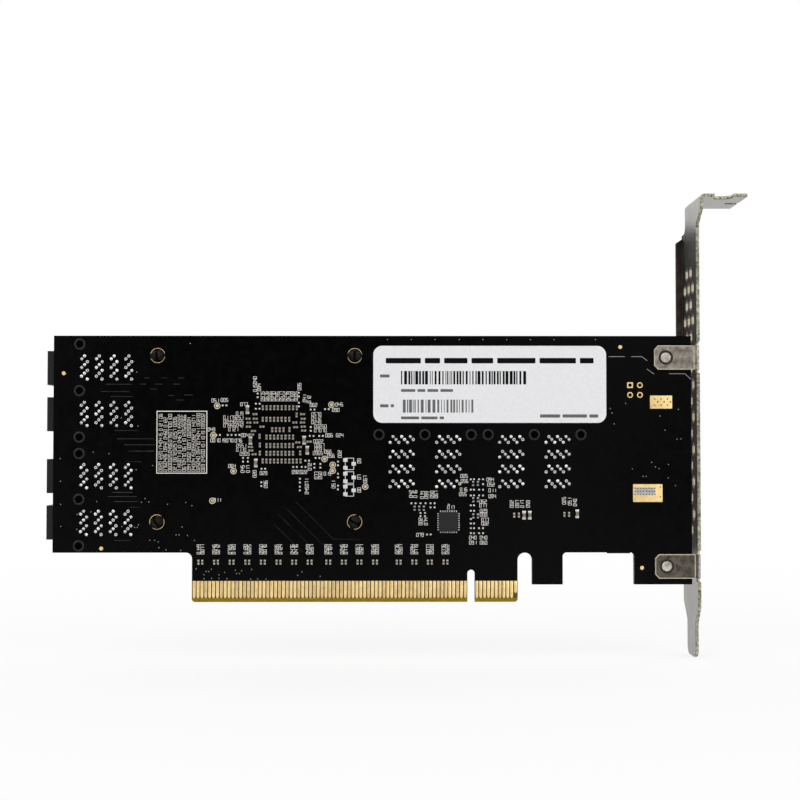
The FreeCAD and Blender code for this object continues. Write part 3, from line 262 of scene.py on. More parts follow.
class Piece:
    """One mesh of the card, gathered in millimetres."""

    def __init__(self, name, place, *finishes):
        self.name, self.place, self.finishes = name, place, finishes
        self.mesh = bmesh.new()

    def loft(self, rings, finish=0, closed=False):
        """Skin a row of rings; the ends are flat, or join up."""
        rows = [[self.mesh.verts.new(self.place @ Vector(point) * MM) for point in ring] for ring in rings]
        faces = [] if closed else [rows[0][::-1], rows[-1]]
        for low, high in zip(rows, rows[1:] + rows[:1] if closed else rows[1:]):
            for one in range(len(low)):
                two = (one + 1) % len(low)
                faces.append((low[one], low[two], high[two], high[one]))
        for face in faces:
            self.mesh.faces.new(face).material_index = finish

    def turned(self, x, y, profile, steps=16, finish=0, closed=False):
        """A round shape about an upright axis, from its radius at each height."""
        angles = [tau * step / steps for step in range(steps)]
        self.loft([[(x + r * cos(a), y + r * sin(a), h) for a in angles] for r, h in profile], finish, closed)

    def ring(self, x, y, inner, outer, height, steps=24, finish=0):
        """A flat washer with softened rims."""
        soft = height * 0.4
        profile = [(inner, 0), (outer, 0), (outer, height - soft), (outer - soft, height),
                   (inner + soft, height), (inner, height - soft)]
        self.turned(x, y, profile, steps, finish, closed=True)

    def plate(self, x, y, width, height, levels, corner=0.02, finish=0, turn=0, steps=2):
        """A rounded plate; levels give how far the outline is drawn in at each height."""
        rings = []
        for inset, level in levels:
            edge = rounded(width - 2 * inset, height - 2 * inset, max(corner - inset, 0.004), steps)
            rings.append([(*point, level) for point in around(x, y, turn, edge)])
        self.loft(rings, finish)

    def stroke(self, points, width, low, high, finish=0):
        """A flat ribbon along a bent line, with mitred corners."""
        points = [Vector(point) for point in points]
        steps = [(end - start).normalized() for start, end in zip(points, points[1:])]
        rings = []
        for point, before, after in zip(points, steps[:1] + steps, steps + steps[-1:]):
            heading = (before + after).normalized()
            stretch = 1 / max(0.5, heading.dot(after))
            side = Vector((-heading.y, heading.x)) * width / 2 * stretch
            left, right = point + side, point - side
            rings.append([(*left, low), (*right, low), (*right, high), (*left, high)])
        self.loft(rings, finish)

    def done(self, slot, *nodes, sharp=40):
        bmesh.ops.recalc_face_normals(self.mesh, faces=self.mesh.faces)
        data = bpy.data.meshes.new(self.name)
        self.mesh.to_mesh(data)
        self.mesh.free()
        finish_piece(self.name, data, self.finishes, nodes, sharp)


def placed(name, data):
    thing = bpy.data.objects.new(name, data)
    bpy.context.collection.objects.link(thing)
    return thing


def finish_piece(name, data, finishes, nodes, sharp):
    for finish in finishes:
        data.materials.append(finish)
    data.shade_smooth()
    data.set_sharp_from_angle(angle=radians(sharp))
    thing = placed(name, data)
    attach(thing, "root")
    if nodes:
        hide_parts(*nodes)
    return thing


def softened(node, name, finish, width):
    """A solid of the card with its hard edges broken, as moulding, folding and sawing leave them."""
    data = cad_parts[node].data.copy()
    data.materials.clear()
    mesh = bmesh.new()
    mesh.from_mesh(data)
    bmesh.ops.remove_doubles(mesh, verts=mesh.verts, dist=1e-6)
    bmesh.ops.dissolve_limit(mesh, angle_limit=radians(1), verts=mesh.verts, edges=mesh.edges)
    hard = radians(30)
    edges = [edge for edge in mesh.edges if len(edge.link_faces) == 2 and edge.calc_face_angle() > hard]
    bmesh.ops.bevel(mesh, geom=edges, offset=width * MM, segments=2, affect="EDGES", clamp_overlap=True)
    mesh.to_mesh(data)
    mesh.free()
    data.name = name
    thing = finish_piece(name, data, (finish,), (node,), 60)
    thing.modifiers.new("flat faces", "WEIGHTED_NORMAL").keep_sharp = True
    return thing


PLATE_INNER, PLATE_OUTER = 58.59, 59.45
# A height between the two tabs; both tab faces carry painted shade, paler on the upper tab
TAB_PARTING = 36

# The folded bracket, whose sheared edges and punched holes are paler and rougher than its faces, partly as
# raw steel and partly as painted highlight
thing = softened("bracket", "bracket_sheet", NICKEL, 0.18)
finishes = (NICKEL, SHEARED_AND_HIGHLIGHT, LOWER_TAB_SHADE, UPPER_TAB_SHADE, LIP_PAINTED_SHADE, MOTTLED_EDGE)
for finish in finishes[1:]:
    thing.data.materials.append(finish)
for face in thing.data.polygons:
    x, y, z = face.center / MM
    facing = face.normal.y
    finish = NICKEL
    if x < PLATE_INNER and y < 0:
        # Tab faces carry painted shade, paler on the upper tab, and their edges and bevels carry painted
        # highlight
        finish = SHEARED_AND_HIGHLIGHT if abs(facing) < 0.97 else UPPER_TAB_SHADE if z > TAB_PARTING else LOWER_TAB_SHADE
    # The lip's inner face takes painted shade
    elif x < PLATE_INNER and facing < -0.5:
        finish = LIP_PAINTED_SHADE
    # Edges facing the near side, at the near edge and on the tongue: dark with pale flecks
    elif facing < -0.3 and (y < -1.5 or z < 0):
        finish = MOTTLED_EDGE
    # Faces across the plate's thickness that face along the board, mostly walls of punched holes: paler steel
    # with painted highlight
    elif PLATE_INNER + 0.02 < x < PLATE_OUTER - 0.02 and abs(facing) > 0.75:
        finish = SHEARED_AND_HIGHLIGHT
    face.material_index = finishes.index(finish)

softened("heatsink", "finned_heatsink", ALUMINIUM, 0.12)
for connector in CONNECTORS:
    softened("connector_housing_" + connector, "housing_" + connector, PLASTIC, 0.14)

# Edge contacts

CONTACT_PLACES = [1.5 + step for step in range(11)] + [-1.5 - step for step in range(71)]
CONTACT_TOP, CONTACT_FOOT, SHORT_FOOT = 5.45, 1.02, 2.3
DULL_SHARE = 0.35


def edge_contacts(name, place, mirror, short):
    """Contacts with a bullet-shaped foot, some duller; the short one senses that the card is seated."""
    piece = Piece(name, place, GOLD, DULL_GOLD)
    draw = Random(5)
    for x in CONTACT_PLACES:
        foot = SHORT_FOOT if x == short else CONTACT_FOOT
        half = [(0.12, foot), (0.27, foot + 0.18), (0.35, foot + 0.55), (0.35, CONTACT_TOP - 0.06),
                (0.29, CONTACT_TOP)]
        edge = half + [(-a, b) for a, b in reversed(half)]
        rings = [[(x * mirror + a * share, b, level) for a, b in edge]
                 for share, level in ((1, 0), (1, 0.01), (0.84, 0.05))]
        piece.loft(rings, int(draw.random() < DULL_SHARE))
    piece.done("contact_gold", "edge_" + name)


edge_contacts("contacts_solder_side", FRONT, 1, 11.5)
edge_contacts("contacts_component_side", BACK, -1, -70.5)

# Cable connectors: frames with X out of the mouths, Y across the ports and Z off the board

REAR_LINE, TOP_LINE = -101.4, 43.23
TOP_AXES = (0, 0, 1), (1, 0, 0), (0, 1, 0)
STANDS = [axes(*BACK_AXES, (REAR_LINE, HALF_BOARD, z)) for z in (54.6, 26.45)]
STANDS += [axes(*TOP_AXES, (x, HALF_BOARD, TOP_LINE)) for x in (-11.9, 16.5)]
PORT_PITCH = 12.05
PORTS = (-PORT_PITCH / 2, PORT_PITCH / 2)
PIN_COLUMNS, COLUMN_PITCH, FIRST_COLUMN = 4, 3.825, -1.25
# Pins and slices of a port are counted from the middle one
COUNTED = range(-4, 5)
PIN_PITCH, PIN_STAGGER, SLICE_PITCH = 0.75, (-0.74, 0.74, 0), 0.74
SLOT_LEVELS = (3.4, 7.8)


def pin_tails(name, place, draw):
    """Press-fit pin ends in their plated holes, staggered in threes."""
    piece = Piece("pins_" + name, FRONT, TIN, BRIGHT_TIN)
    for port, column, row in product(PORTS, range(PIN_COLUMNS), COUNTED):
        out = FIRST_COLUMN + PIN_STAGGER[(row + 4) % 3] - COLUMN_PITCH * column
        x, _, z = place @ Vector((out, port + PIN_PITCH * row, 0))
        tall = draw.uniform(0.16, 0.42)
        if draw.random() < 0.4:
            piece.ring(x, z, 0.17, 0.4, 0.07, 14, 1)
        else:
            piece.turned(x, z, [(0.4, 0), (0.4, 0.04), (0.32, 0.11), (0.2, tall - 0.04), (0.12, tall)], 14)
    piece.done("tinned_metal", "pin_tails_" + name)


def wafer_stack(name, place, draw):
    """Thin slices side by side in each port, with backs of uneven reach."""
    piece = Piece("wafers_" + name, place, WAFER)
    for port, index in product(PORTS, COUNTED):
        middle = port + SLICE_PITCH * index
        back = -14.4 + draw.uniform(0, 0.18)
        top = 9.4 - (0.25 if index % 2 else 0)
        profile = [(-0.95, 0), (-0.95, top), (back + 1.2, top), (back + 0.35, top - 0.35),
                   (back, top - 1.2), (back, 0)]
        piece.loft([[(a + (inset if a < -5 else 0), middle + side, max(0, b - inset)) for a, b in profile]
                    for side, inset in ((-0.33, 0.06), (-0.27, 0), (0.27, 0), (0.33, 0.06))])
    piece.done("wafer_plastic", "contact_wafers_" + name)


def port_contacts(name, place):
    """Two facing rows of sprung contacts in each slot of a port."""
    piece = Piece("port_contacts_" + name, place, GOLD)
    for port, level, row, index in product(PORTS, SLOT_LEVELS, BOTH, COUNTED):
        y = port + SLICE_PITCH * index
        root, lip = level + row * 0.56, level + row * 0.3
        piece.loft([[(x, y + 0.14 * a, z + 0.03 * b) for a, b in SQUARE]
                    for x, z in ((0, root), (0.9, root), (1.9, lip), (2.5, root))])
    piece.done("contact_gold")


draw = Random(11)
for connector, stand in zip(CONNECTORS, STANDS):
    pin_tails(connector, stand, draw)
    wafer_stack(connector, stand, draw)
    port_contacts(connector, stand)

# Fixings

SCREW_PLACES = ((50.6, 63.25), (50.6, 9.2))
SHEET_END = -2 * HALF_BOARD - 0.86
SCREW_STEPS, THREAD_PITCH = 64, 0.25
# Screw head by radius and height, and its recess by length, half width and height
HEAD = [(1.2, 0), (2.7, 0), (2.75, 0.12), (2.75, 0.8), (2.55, 1.4), (2.1, 1.8), (1.6, 2)]
RECESS = ((1.35, 0.36, 1.98), (0.6, 0.25, 0.7))


def cross_recess(angle, length, half_width):
    """Radius of a cross-shaped outline at an angle."""
    near, far = sorted((abs(cos(angle)), abs(sin(angle))))
    return min(length / far, half_width / max(near, 1e-6))


# Screws with a cross recess and a thread, and round their tip a dark ring that is painted shadow of the hole
piece = Piece("cross_head_screws", BACK, SCREW_STEEL, HOLE_SHADOW)
angles = [tau * step / SCREW_STEPS for step in range(SCREW_STEPS)]
for x, z in SCREW_PLACES:
    rim, base = SHEET_END + 0.02, SHEET_END - 0.03
    piece.turned(-x, z, [(1.27, rim), (1.9, rim), (1.87, base), (1.27, base)], 40, 1, closed=True)
    height = SHEET_END - 0.08
    levels = [(0.9, SHEET_END - 0.25), (1.12, SHEET_END - 0.22), (1.26, height)]
    while height < -0.3:
        levels += [(1.34, height + 0.12), (1.18, height + THREAD_PITCH)]
        height += THREAD_PITCH
    sections = [([radius] * SCREW_STEPS, level) for radius, level in levels + HEAD]
    for length, half_width, level in RECESS:
        sections.append(([cross_recess(angle, length, half_width) for angle in angles], level))
    piece.loft([[(-x + r * cos(a), z + r * sin(a), level) for r, a in zip(reach, angles)]
                for reach, level in sections])
piece.done("screw_steel", "bracket_screws", sharp=30)

TAB_END, TAB_HALF, TAB_CORNER, TAB_BEND, TAB_FACE = 47.6, 3.125, 1, 57.9, 0.86

# Painted highlights along the edges and bends of the bracket's two tabs, as bright strips on their faces
piece = Piece("tab_painted_highlights", FRONT, SHEARED_AND_HIGHLIGHT)
rim, levels = 0.2, (TAB_FACE - 0.02, TAB_FACE + 0.015)
left, nook = TAB_END + rim / 2, TAB_END + TAB_CORNER
for _, z in SCREW_PLACES:
    low, high = z - TAB_HALF + rim / 2, z + TAB_HALF - rim / 2
    bend = [(TAB_BEND, low), (TAB_BEND, high)]
    piece.stroke([bend[0], (nook, low), (left, low + TAB_CORNER), (left, high - TAB_CORNER), (nook, high),
                  bend[1]], rim, *levels)
    piece.stroke(bend, rim, *levels)
piece.done("bracket_steel")

# Push pins by place and turn of the barbs; their heights run from the solder side outwards
PUSH_PINS = ((-81.21, 63.75, 4), (-30.11, 63.75, -3), (-81.21, 20.65, 38), (-30.11, 20.65, 68))
SINK_TOP, HEAD_FOOT, HEAD_TOP = -7.87, -12.27, -13.475
# A barb by height, reach and half width
BARB = (
    (-1.25, 1.2, 0.8), (0, 1.2, 0.8), (0.06, 2, 1.25), (0.45, 1.97, 1.25), (1.6, 1.3, 1),
    (2.1, 1, 0.8), (2.25, 0.85, 0.65))

piece = Piece("two_pronged_pins", FRONT, NYLON)
angles = [radians(step) for step in range(-75, 76, 15)]
head = [(2.8, HEAD_FOOT), (3, HEAD_FOOT - 0.2), (3, HEAD_FOOT - 0.8), (2.8, HEAD_FOOT - 1.05),
        (1.5, HEAD_FOOT - 1.1), (1.35, HEAD_TOP), (0.5, HEAD_TOP)]
for x, z, turn in PUSH_PINS:
    piece.turned(x, z, head, 32)
    piece.plate(x, z, 2.4, 1.6, [(0, HEAD_FOOT), (0, -1.2)], corner=0.4, turn=turn)
    for side in BOTH:
        rings = []
        for level, reach, width in BARB:
            edge = [(side * max(reach * cos(a), 0.35), width * sin(a)) for a in angles]
            edge += [(side * 0.3, width * 0.9), (side * 0.3, -width * 0.9)]
            rings.append([(*point, level) for point in around(x, z, turn, edge)])
        piece.loft(rings)
piece.done("push_pin_plastic", "push_pins")

# Coil springs of the push pins
piece = Piece("coil_springs", FRONT, SPRING_STEEL)
turns, steps, wire, radius, sides = 5, 24, 0.25, 2, 8
tilts = [tau * side / sides for side in range(sides)]
section = [(radius + wire * cos(tilt), wire * sin(tilt)) for tilt in tilts]
for x, z, _ in PUSH_PINS:
    rings = []
    for step in range(turns * steps + 1):
        angle = tau * step / steps
        eased = min(max((step / steps - 0.7) / (turns - 1.4), 0), 1)
        level = SINK_TOP - wire * 1.05 + (HEAD_FOOT - SINK_TOP + 2.1 * wire) * eased
        c, s = cos(angle), sin(angle)
        rings.append([(x + reach * c, z + reach * s, level + rise) for reach, rise in section])
    piece.loft(rings)
piece.done("spring_steel", "push_pin_springs", sharp=60)

# Small parts: two-ended chips, flat leadless packages and the parts of the power section

CHIP_MIDDLE = (-49.5, 43)
CHIP_PITCH = 0.98
# Width, length and height of chips
SMALL_CHIP, BULK_CHIP, POWER_CHIP = (0.5, 1, 0.45), (0.8, 1.6, 0.7), (0.8, 1.6, 0.6)
# Rows as rise, shift and count, and places, from the middle of the switch chip
DECOUPLING_ROWS = (
    (7.2, 0, 10), (4.2, -1, 8), (1.5, -0.5, 4), (-0.4, 0, 8), (-2.6, 0, 8), (-4.6, 0, 8), (-6.6, 0, 10))
DECOUPLING_PLACES = [
    (CHIP_MIDDLE[0] + shift + CHIP_PITCH * (index - (count - 1) / 2), CHIP_MIDDLE[1] + rise)
    for rise, shift, count in DECOUPLING_ROWS for index in range(count)]
BULK_PLACES = around(*CHIP_MIDDLE, 0, ((-8.4, 6.7), (-7.6, -1.3), (6.3, -1.2), (7.1, -3.8), (-6.2, -7.1)))
COUPLING_GROUPS = ((-69.9, 8), (-36.9, 4), (-18.7, 4))
COUPLING_PITCH, COUPLING_HEIGHT = 4.03, 10.3
COUPLING_PLACES = [
    (first + COUPLING_PITCH * index + CHIP_PITCH * side, COUPLING_HEIGHT)
    for first, count in COUPLING_GROUPS for index, side in product(range(count), (-0.5, 0.5))]
MONITOR = (-5.8, 20.7)
BLACK_CHIPS = around(*MONITOR, 0, (
    (-8.8, 3.5), (-7.6, 3.5), (-6.4, 3.5), (6.4, 9.9), (7.6, 9.9), (6.4, 5.7), (7.6, 5.7), (6.4, 1.5),
    (7.6, 1.5)))
BROWN_CHIPS = around(*MONITOR, 0, ((17, 1.7), (18.2, 1.7), (30, 1.9), (31.2, 1.9)))
# Pads stay above the recess in the board's lower edge
LOWEST_PAD = 13


def solder(foot, inset, top):
    """Levels of a pad whose rim slopes in."""
    return [(0, 0), (0, foot), (inset, top)]


def chip(piece, x, z, width, length, height, turn=0, body=0):
    """A two-ended chip: its wrapped ends and solder are in the piece's second finish."""
    piece.plate(x, z, width * 0.95, length * 0.6, [(0, 0.03), (0, height - 0.06), (0.05, height - 0.01)],
                0.04, body, turn)
    wrap = [(0, 0.02), (0, height - 0.05), (0.05, height)]
    for end in BOTH:
        cap, pad = around(x, z, turn, [(0, end * length * 0.38), (0, end * length * 0.54)])
        piece.plate(*cap, width, length * 0.24, wrap, 0.05, 1, turn)
        piece.plate(*pad, width * 1.12, length * 0.3, solder(0.03, width * 0.18, 0.16), 0.06, 1, turn)


def chips(name, slot, nodes, groups, *finishes):
    """Chips of the front, in groups of the same size, turn and finish of the body."""
    piece = Piece(name, FRONT, *finishes)
    for places, size, turn, body in groups:
        for place in places:
            chip(piece, *place, *size, turn, body)
    piece.done(slot, *nodes)


def packages(name, face, node, places, size, pads, reach=0.02):
    """Leadless packages with pads along all four sides and a dot at the first."""
    piece = Piece(name, face, EPOXY, TIN, GLAZE)
    width, length, height = size
    for x, z in places:
        piece.plate(x, z, width, length, [(0, 0.04), (0, height - 0.05), (0.05, height)], 0.08)
        for across, along, turn in ((width, length, 0), (length, width, 90)):
            for index, side in product(range(pads), BOTH):
                step = (index - (pads - 1) / 2) * (along - 0.9) / (pads - 1)
                (pad,) = around(x, z, turn, [(side * (across / 2 + reach), step)])
                if pad[1] > LOWEST_PAD:
                    piece.plate(*pad, 0.5, 0.24, solder(0.05, 0.05, 0.09), 0.08, 1, turn)
        dot = [(0.28, height - 0.02), (0.28, height + 0.004)]
        piece.turned(x - width * 0.36, z + length * 0.36, dot, 16, 2)
    piece.done("chip_epoxy", node)


for name, node, places, size in (
        ("chips_behind_switch", "decoupling_capacitors", DECOUPLING_PLACES, SMALL_CHIP),
        ("chips_above_contacts", "coupling_capacitors", COUPLING_PLACES, SMALL_CHIP),
        ("larger_chips", "bulk_capacitors", BULK_PLACES, BULK_CHIP)):
    chips(name, "capacitor_ceramic", [node], [(places, size, 0, 0)], CERAMIC, TIN)
chips("resistor_chips", "resistor_body", ["chip_resistors"],
      [(BLACK_CHIPS, SMALL_CHIP, 0, 0), (BROWN_CHIPS, SMALL_CHIP, 0, 2)], GLAZE, TIN, CERAMIC)

INDUCTOR_X, TANTALUM_X = -38.5, -47.5
INDUCTOR_HEIGHTS, TANTALUM_HEIGHTS = (22, 34, 54), (20, 27, 34, 46, 53)
STAGE_PLACES = [(INDUCTOR_X, height) for height in (14.9, 41.2, 61)]
CLOCK, MEMORY, CRYSTAL = (-8, 20.5), (10, 20.5), (-18, 20.5)
packages("monitor_package", FRONT, "monitor_chip", [MONITOR], (5, 5, 0.85), 8, 0.14)
packages("power_packages", BACK, "power_stages", STAGE_PLACES, (6, 5, 0.9), 7)
packages("clock_package", BACK, "clock_chip", [CLOCK], (6, 6, 0.9), 9)

# Moulded inductors
piece = Piece("moulded_inductors", BACK, CORE, TIN)
body = [(0.15, 0.1), (0, 0.4), (0, 3.5), (0.12, 3.85), (0.45, 4)]
for z in INDUCTOR_HEIGHTS:
    piece.plate(INDUCTOR_X, z, 6.9, 6.9, body, 0.9, steps=5)
    for side in BOTH:
        piece.plate(INDUCTOR_X + side * 3.38, z, 0.22, 2.6, solder(1.5, 0.04, 1.6), 0.06, 1)
        piece.plate(INDUCTOR_X + side * 3.2, z, 1.1, 3, solder(0.05, 0.1, 0.14), 0.1, 1)
piece.done("inductor_core", "power_inductors")

# Moulded capacitors with a printed bar
piece = Piece("moulded_capacitors", BACK, TANTALUM, TIN, PRINT_AND_HOLE_SHADE)
for z in TANTALUM_HEIGHTS:
    piece.plate(TANTALUM_X, z, 7, 4.2, [(0.12, 0.15), (0, 1.3), (0.1, 2.7), (0.18, 2.8)], 0.12)
    piece.plate(TANTALUM_X + 2.6, z, 1.1, 3.8, [(0, 2.79), (0, 2.812)], 0.05, 2)
    for side in BOTH:
        piece.plate(TANTALUM_X + side * 3.55, z, 0.14, 2.4, [(0, 0.02), (0, 1.3), (0.03, 1.36)], 0.05, 1)
        piece.plate(TANTALUM_X + side * 3.35, z, 0.9, 2.6, solder(0.06, 0.12, 0.16), 0.1, 1)
piece.done("tantalum_case", "tantalum_capacitors")

LEAD_PITCH, LEAD_HALF = 1.27, 0.2
# A lead by reach, height and half thickness
LEAD = (
    (2.5, 0.95, 0.1), (3, 0.93, 0.1), (3.2, 0.7, 0.1), (3.35, 0.2, 0.1), (3.5, 0.09, 0.09),
    (3.95, 0.07, 0.07))

# A small outline package with bent leads on two sides
x, z = MEMORY
body = Piece("memory_package", BACK, EPOXY, GLAZE)
body.plate(x, z, 5.3, 5.2, [(0.18, 0.15), (0, 0.95), (0.14, 1.85), (0.2, 1.9)], 0.1)
body.turned(x - 1.9, z + 1.8, [(0.35, 1.88), (0.35, 1.906)], 20, 1)
body.done("chip_epoxy", "memory_chip")
leads = Piece("memory_leads", BACK, TIN)
for side, index in product(BOTH, range(4)):
    middle = x + LEAD_PITCH * (index - 1.5)
    leads.loft([[(middle + LEAD_HALF * a, z + side * out, level + thick * b) for a, b in SQUARE]
                for out, level, thick in LEAD])
    leads.plate(middle, z + side * 3.7, 0.6, 0.8, solder(0.03, 0.08, 0.07), 0.08)
leads.done("tinned_metal", "memory_chip_leads")

# Crystal oscillator under a metal lid
x, z = CRYSTAL
piece = Piece("crystal_oscillator", BACK, EPOXY, TIN)
piece.plate(x, z, 3.2, 2.5, [(0, 0.03), (0, 0.6), (0.04, 0.64)], 0.15)
lid = [(0, 0.62), (0, 0.72), (0.25, 0.74), (0.32, 0.88), (0.36, 0.9)]
piece.plate(x, z, 2.8, 2.1, lid, 0.3, 1, steps=4)
for side, end in product(BOTH, BOTH):
    piece.plate(x + side * 1.15, z + end * 0.95, 1.1, 0.9, solder(0.04, 0.06, 0.07), 0.1, 1)
piece.done("oscillator_can", "oscillator")


# Pads, rings and vias of the solder side; pixels are those of the photograph

def spot(u, v):
    """The point of the solder side that a pixel shows, in millimetres."""
    forward = (AIM - EYE).normalized()
    right = forward.cross(Vector((0, 0, 1))).normalized()
    up = right.cross(forward)
    focal = LENS / SENSOR * PICTURE
    ray = forward + right * ((u - PICTURE / 2) / focal) - up * ((v - PICTURE / 2) / focal)
    point = EYE + ray * ((-HALF_BOARD - EYE.y) / ray.y)
    return point.x, point.z


def spots(*pixels):
    return [spot(u, v) for u, v in pixels]


FOIL = 0.02
PEGS = [(REAR_LINE, z) for z in (66.7, 54.6, 42.57, 38.33, 26.5, 14.5)]
PEGS += [(x, TOP_LINE) for x in (-23.82, -11.92, 0.1, 4.49, 16.49, 28.58)]
PEG_RIM = [(0.95, 0), (1.5, 0), (1.45, 0.1), (1.3, 0.22), (1.15, 0.26), (1.02, 0.2), (0.95, 0.1)]
HEADER_HOLES = list(product((41.41, 43.97), (53.55, 56.1)))
TEST_POINTS = (
    (-65.75, 50.71), (-66.71, 43.09), (-61.46, 33.8), (-66.9, 26.12), (-36.14, 51.01),
    (-37.92, 36.94), (-35.79, 35.4), (-35.79, 33.92), (-27.37, 29.79))
FIDUCIALS = ((-105.47, 59.13), (-95.53, 13.84), (38.91, 66.03), (44.28, 8.77))
TRANSISTOR_PADS = [(-32.51, z) for z in (36.66, 34.66, 33.12, 31.18, 29.79, 27.84)]
TRANSISTOR_PADS += [(-30.36, z) for z in (35.68, 32.15, 28.82)]

# Rings, header holes, test points, marks and two vented pads, of which the lower carries solder
piece = Piece("gold_pads", FRONT, GOLD, TIN, PRINT_AND_HOLE_SHADE, DULL_GOLD)
for x, z, _ in PUSH_PINS:
    piece.ring(x, z, 1.8, 1.95, FOIL, 40, 3)
hole = rounded(0.96, 0.96, 0.48, 6)
for x, z in HEADER_HOLES:
    first = (x, z) == HEADER_HOLES[1]
    shape = rounded(1.5, 1.5, 0.06, 6) if first else rounded(1.52, 1.52, 0.76, 6)
    piece.loft([[(x + a, z + b, level) for a, b in edge]
                for edge, level in ((hole, -1.2), (hole, FOIL), (shape, FOIL), (shape, 0))], closed=True)
    # A black disc closes each header hole: painted shade of the hole
    piece.turned(x, z, [(0.47, -1.3), (0.47, -1.2), (0.4, -1.18)], 24, 2)
for place in TEST_POINTS:
    piece.turned(*place, [(0.44, 0), (0.44, FOIL), (0.38, FOIL * 1.2)], 20, 3)
for place in FIDUCIALS:
    piece.turned(*place, [(0.5, 0), (0.5, FOIL), (0.44, FOIL * 1.2)], 24)
flat = solder(FOIL, 0.03, FOIL * 1.3)
# Vents are black dots: painted shade of the via holes
vent = [(0.17, 0), (0.17, FOIL * 1.6), (0.1, FOIL * 1.5)]
piece.plate(49.45, 51.7, 5.75, 3.4, flat, 0.12)
for column, row in product(range(3), range(2)):
    piece.turned(47.8 + 1.65 * column, 50.9 + 1.6 * row, vent, 10, 2)
    piece.turned(48.6 + 1.65 * column, 51.7 + 0.1 * row, vent, 10, 2)
piece.plate(45.88, 28.1, 7.64, 4.6, flat, 0.12)
piece.plate(45.2, 28.6, 5.4, 2, [(0, FOIL), (0.2, FOIL * 2.2), (0.6, FOIL * 2.8)], 0.5, 1, steps=5)
vent = [(0.16, 0), (0.16, FOIL * 3.4), (0.1, FOIL * 3.2)]
for row, column in product(range(3), range(8)):
    piece.turned(42.55 + 0.74 * column, 27.75 + 0.8 * row, vent, 10, 2)
for z in (27.1, 29.65):
    piece.turned(49.15, z, vent, 10, 2)
piece.done("contact_gold")

# Rims of the connectors' pegs, with a near-black disc in their middle that is painted shade of the hole
piece = Piece("peg_ends", FRONT, PEG, PEG_HOLE_SHADE)
for x, z in PEGS:
    piece.turned(x, z, PEG_RIM, 40, closed=True)
    piece.turned(x, z, [(0.96, 0), (0.96, 0.045), (0.85, 0.03), (0.4, 0.012)], 32, 1)
piece.done("housing_plastic")

# Middles of empty pairs of pads, side by side and one above the other
PAIRS_ACROSS = spots(
    (224.6, 405.4), (257.8, 403.8), (257.7, 408.8), (312.6, 409.6), (326.9, 409.2), (218.2, 435),
    (229.6, 435), (237.6, 435), (311.7, 436), (321, 436), (263.3, 468.8), (295.1, 467), (303.6, 467),
    (307.2, 460.7), (317.5, 458), (428.8, 534.5))
PAIRS_UP = spots(
    (257.7, 395.4), (298.9, 394.6), (298.9, 404.6), (310.8, 429), (243.1, 459.8), (247.9, 459.8),
    (261.3, 484.2), (299.9, 480.7), (299.9, 488.6), (314.4, 465.8), (320.4, 465.8), (338, 463.5),
    (338, 475.6), (338, 487.5))
HALF_PAIR = 0.48
EMPTY_PADS = [(x + side * HALF_PAIR, z) for x, z in PAIRS_ACROSS for side in BOTH]
EMPTY_PADS += [(x, z + side * HALF_PAIR) for x, z in PAIRS_UP for side in BOTH]
SIDE_ROWS = (479.3, 484.2, 489.7, 495.5, 501.3, 505.3, 510.8, 514.6, 519, 523.5, 528.2, 533.2)
for columns, rows in (
        ((411.4, 415.6, 420.5, 425.5, 430.5, 434.6), (503.3, 507.4)), ((420.5, 425), (513, 516.2)),
        ((470.8, 474), SIDE_ROWS), ((479, 483), SIDE_ROWS[:4] + SIDE_ROWS[-2:])):
    EMPTY_PADS += spots(*product(columns, rows))
# How far an empty pad stays from a chip
PAD_CLEARANCE = 1

# Pads that carry solder and no part
piece = Piece("tinned_pads", FRONT, TIN, BRIGHT_TIN)
for place in EMPTY_PADS:
    if all(dist(place, other) > PAD_CLEARANCE for other in BLACK_CHIPS + BROWN_CHIPS):
        piece.plate(*place, 0.42, 0.42, [(0, 0), (0, 0.02), (0.06, 0.05), (0.14, 0.07)], 0.1)
for place in TRANSISTOR_PADS:
    piece.plate(*place, 1.1, 0.95, [(0, 0), (0, 0.02), (0.08, 0.05), (0.2, 0.07)], 0.1, 1)
piece.done("tinned_metal")

# Small chips round the switch, lying or standing, and larger ones below the right connectors
LYING_CHIPS = spots(
    (255, 414.2), (248.1, 418.8), (255.3, 418.8), (248.9, 422.6), (255.8, 422.6), (248.4, 426.7),
    (262, 426.7), (253.5, 431), (251.6, 434.6), (250.4, 447), (250.9, 450.5), (254.2, 454.3), (302.5, 414.2),
    (303.2, 418.8), (294.8, 422.6), (302.5, 422.6), (295.6, 427.2), (303.2, 426.7), (303.7, 430.6),
    (297.8, 442.5), (309, 441.7), (299.4, 447.1))
STANDING_CHIPS = spots(
    (259.6, 436.4), (259.9, 445), (259.9, 453.2), (296.6, 415), (289.5, 429.5), (300.2, 452.9),
    (300.6, 460.9))
LARGER_CHIPS = spots((524, 515.2), (529.8, 515.2), (577.2, 513.8))

chips("scattered_chips", "capacitor_ceramic", [],
      [(LYING_CHIPS, SMALL_CHIP, 90, 0), (STANDING_CHIPS, SMALL_CHIP, 0, 0),
       (LARGER_CHIPS, POWER_CHIP, 0, 0)], CERAMIC, TIN)

# Print: white numbers and outlines on the board, and the label

DIGIT_WIDTH, DIGIT_STEP = 0.54, 0.77
# Corners of a figure, two a row from the top, and the walks that draw each figure
CORNERS = {name: (DIGIT_WIDTH * (index % 2), 1 - index // 2 / 2) for index, name in enumerate("abcdef")}
DIGITS = ("abfea", "bf", "abdcef", "abfe cd", "acd bf", "bacdfe", "baefdc", "abf", "abfea cd", "dcabfe")
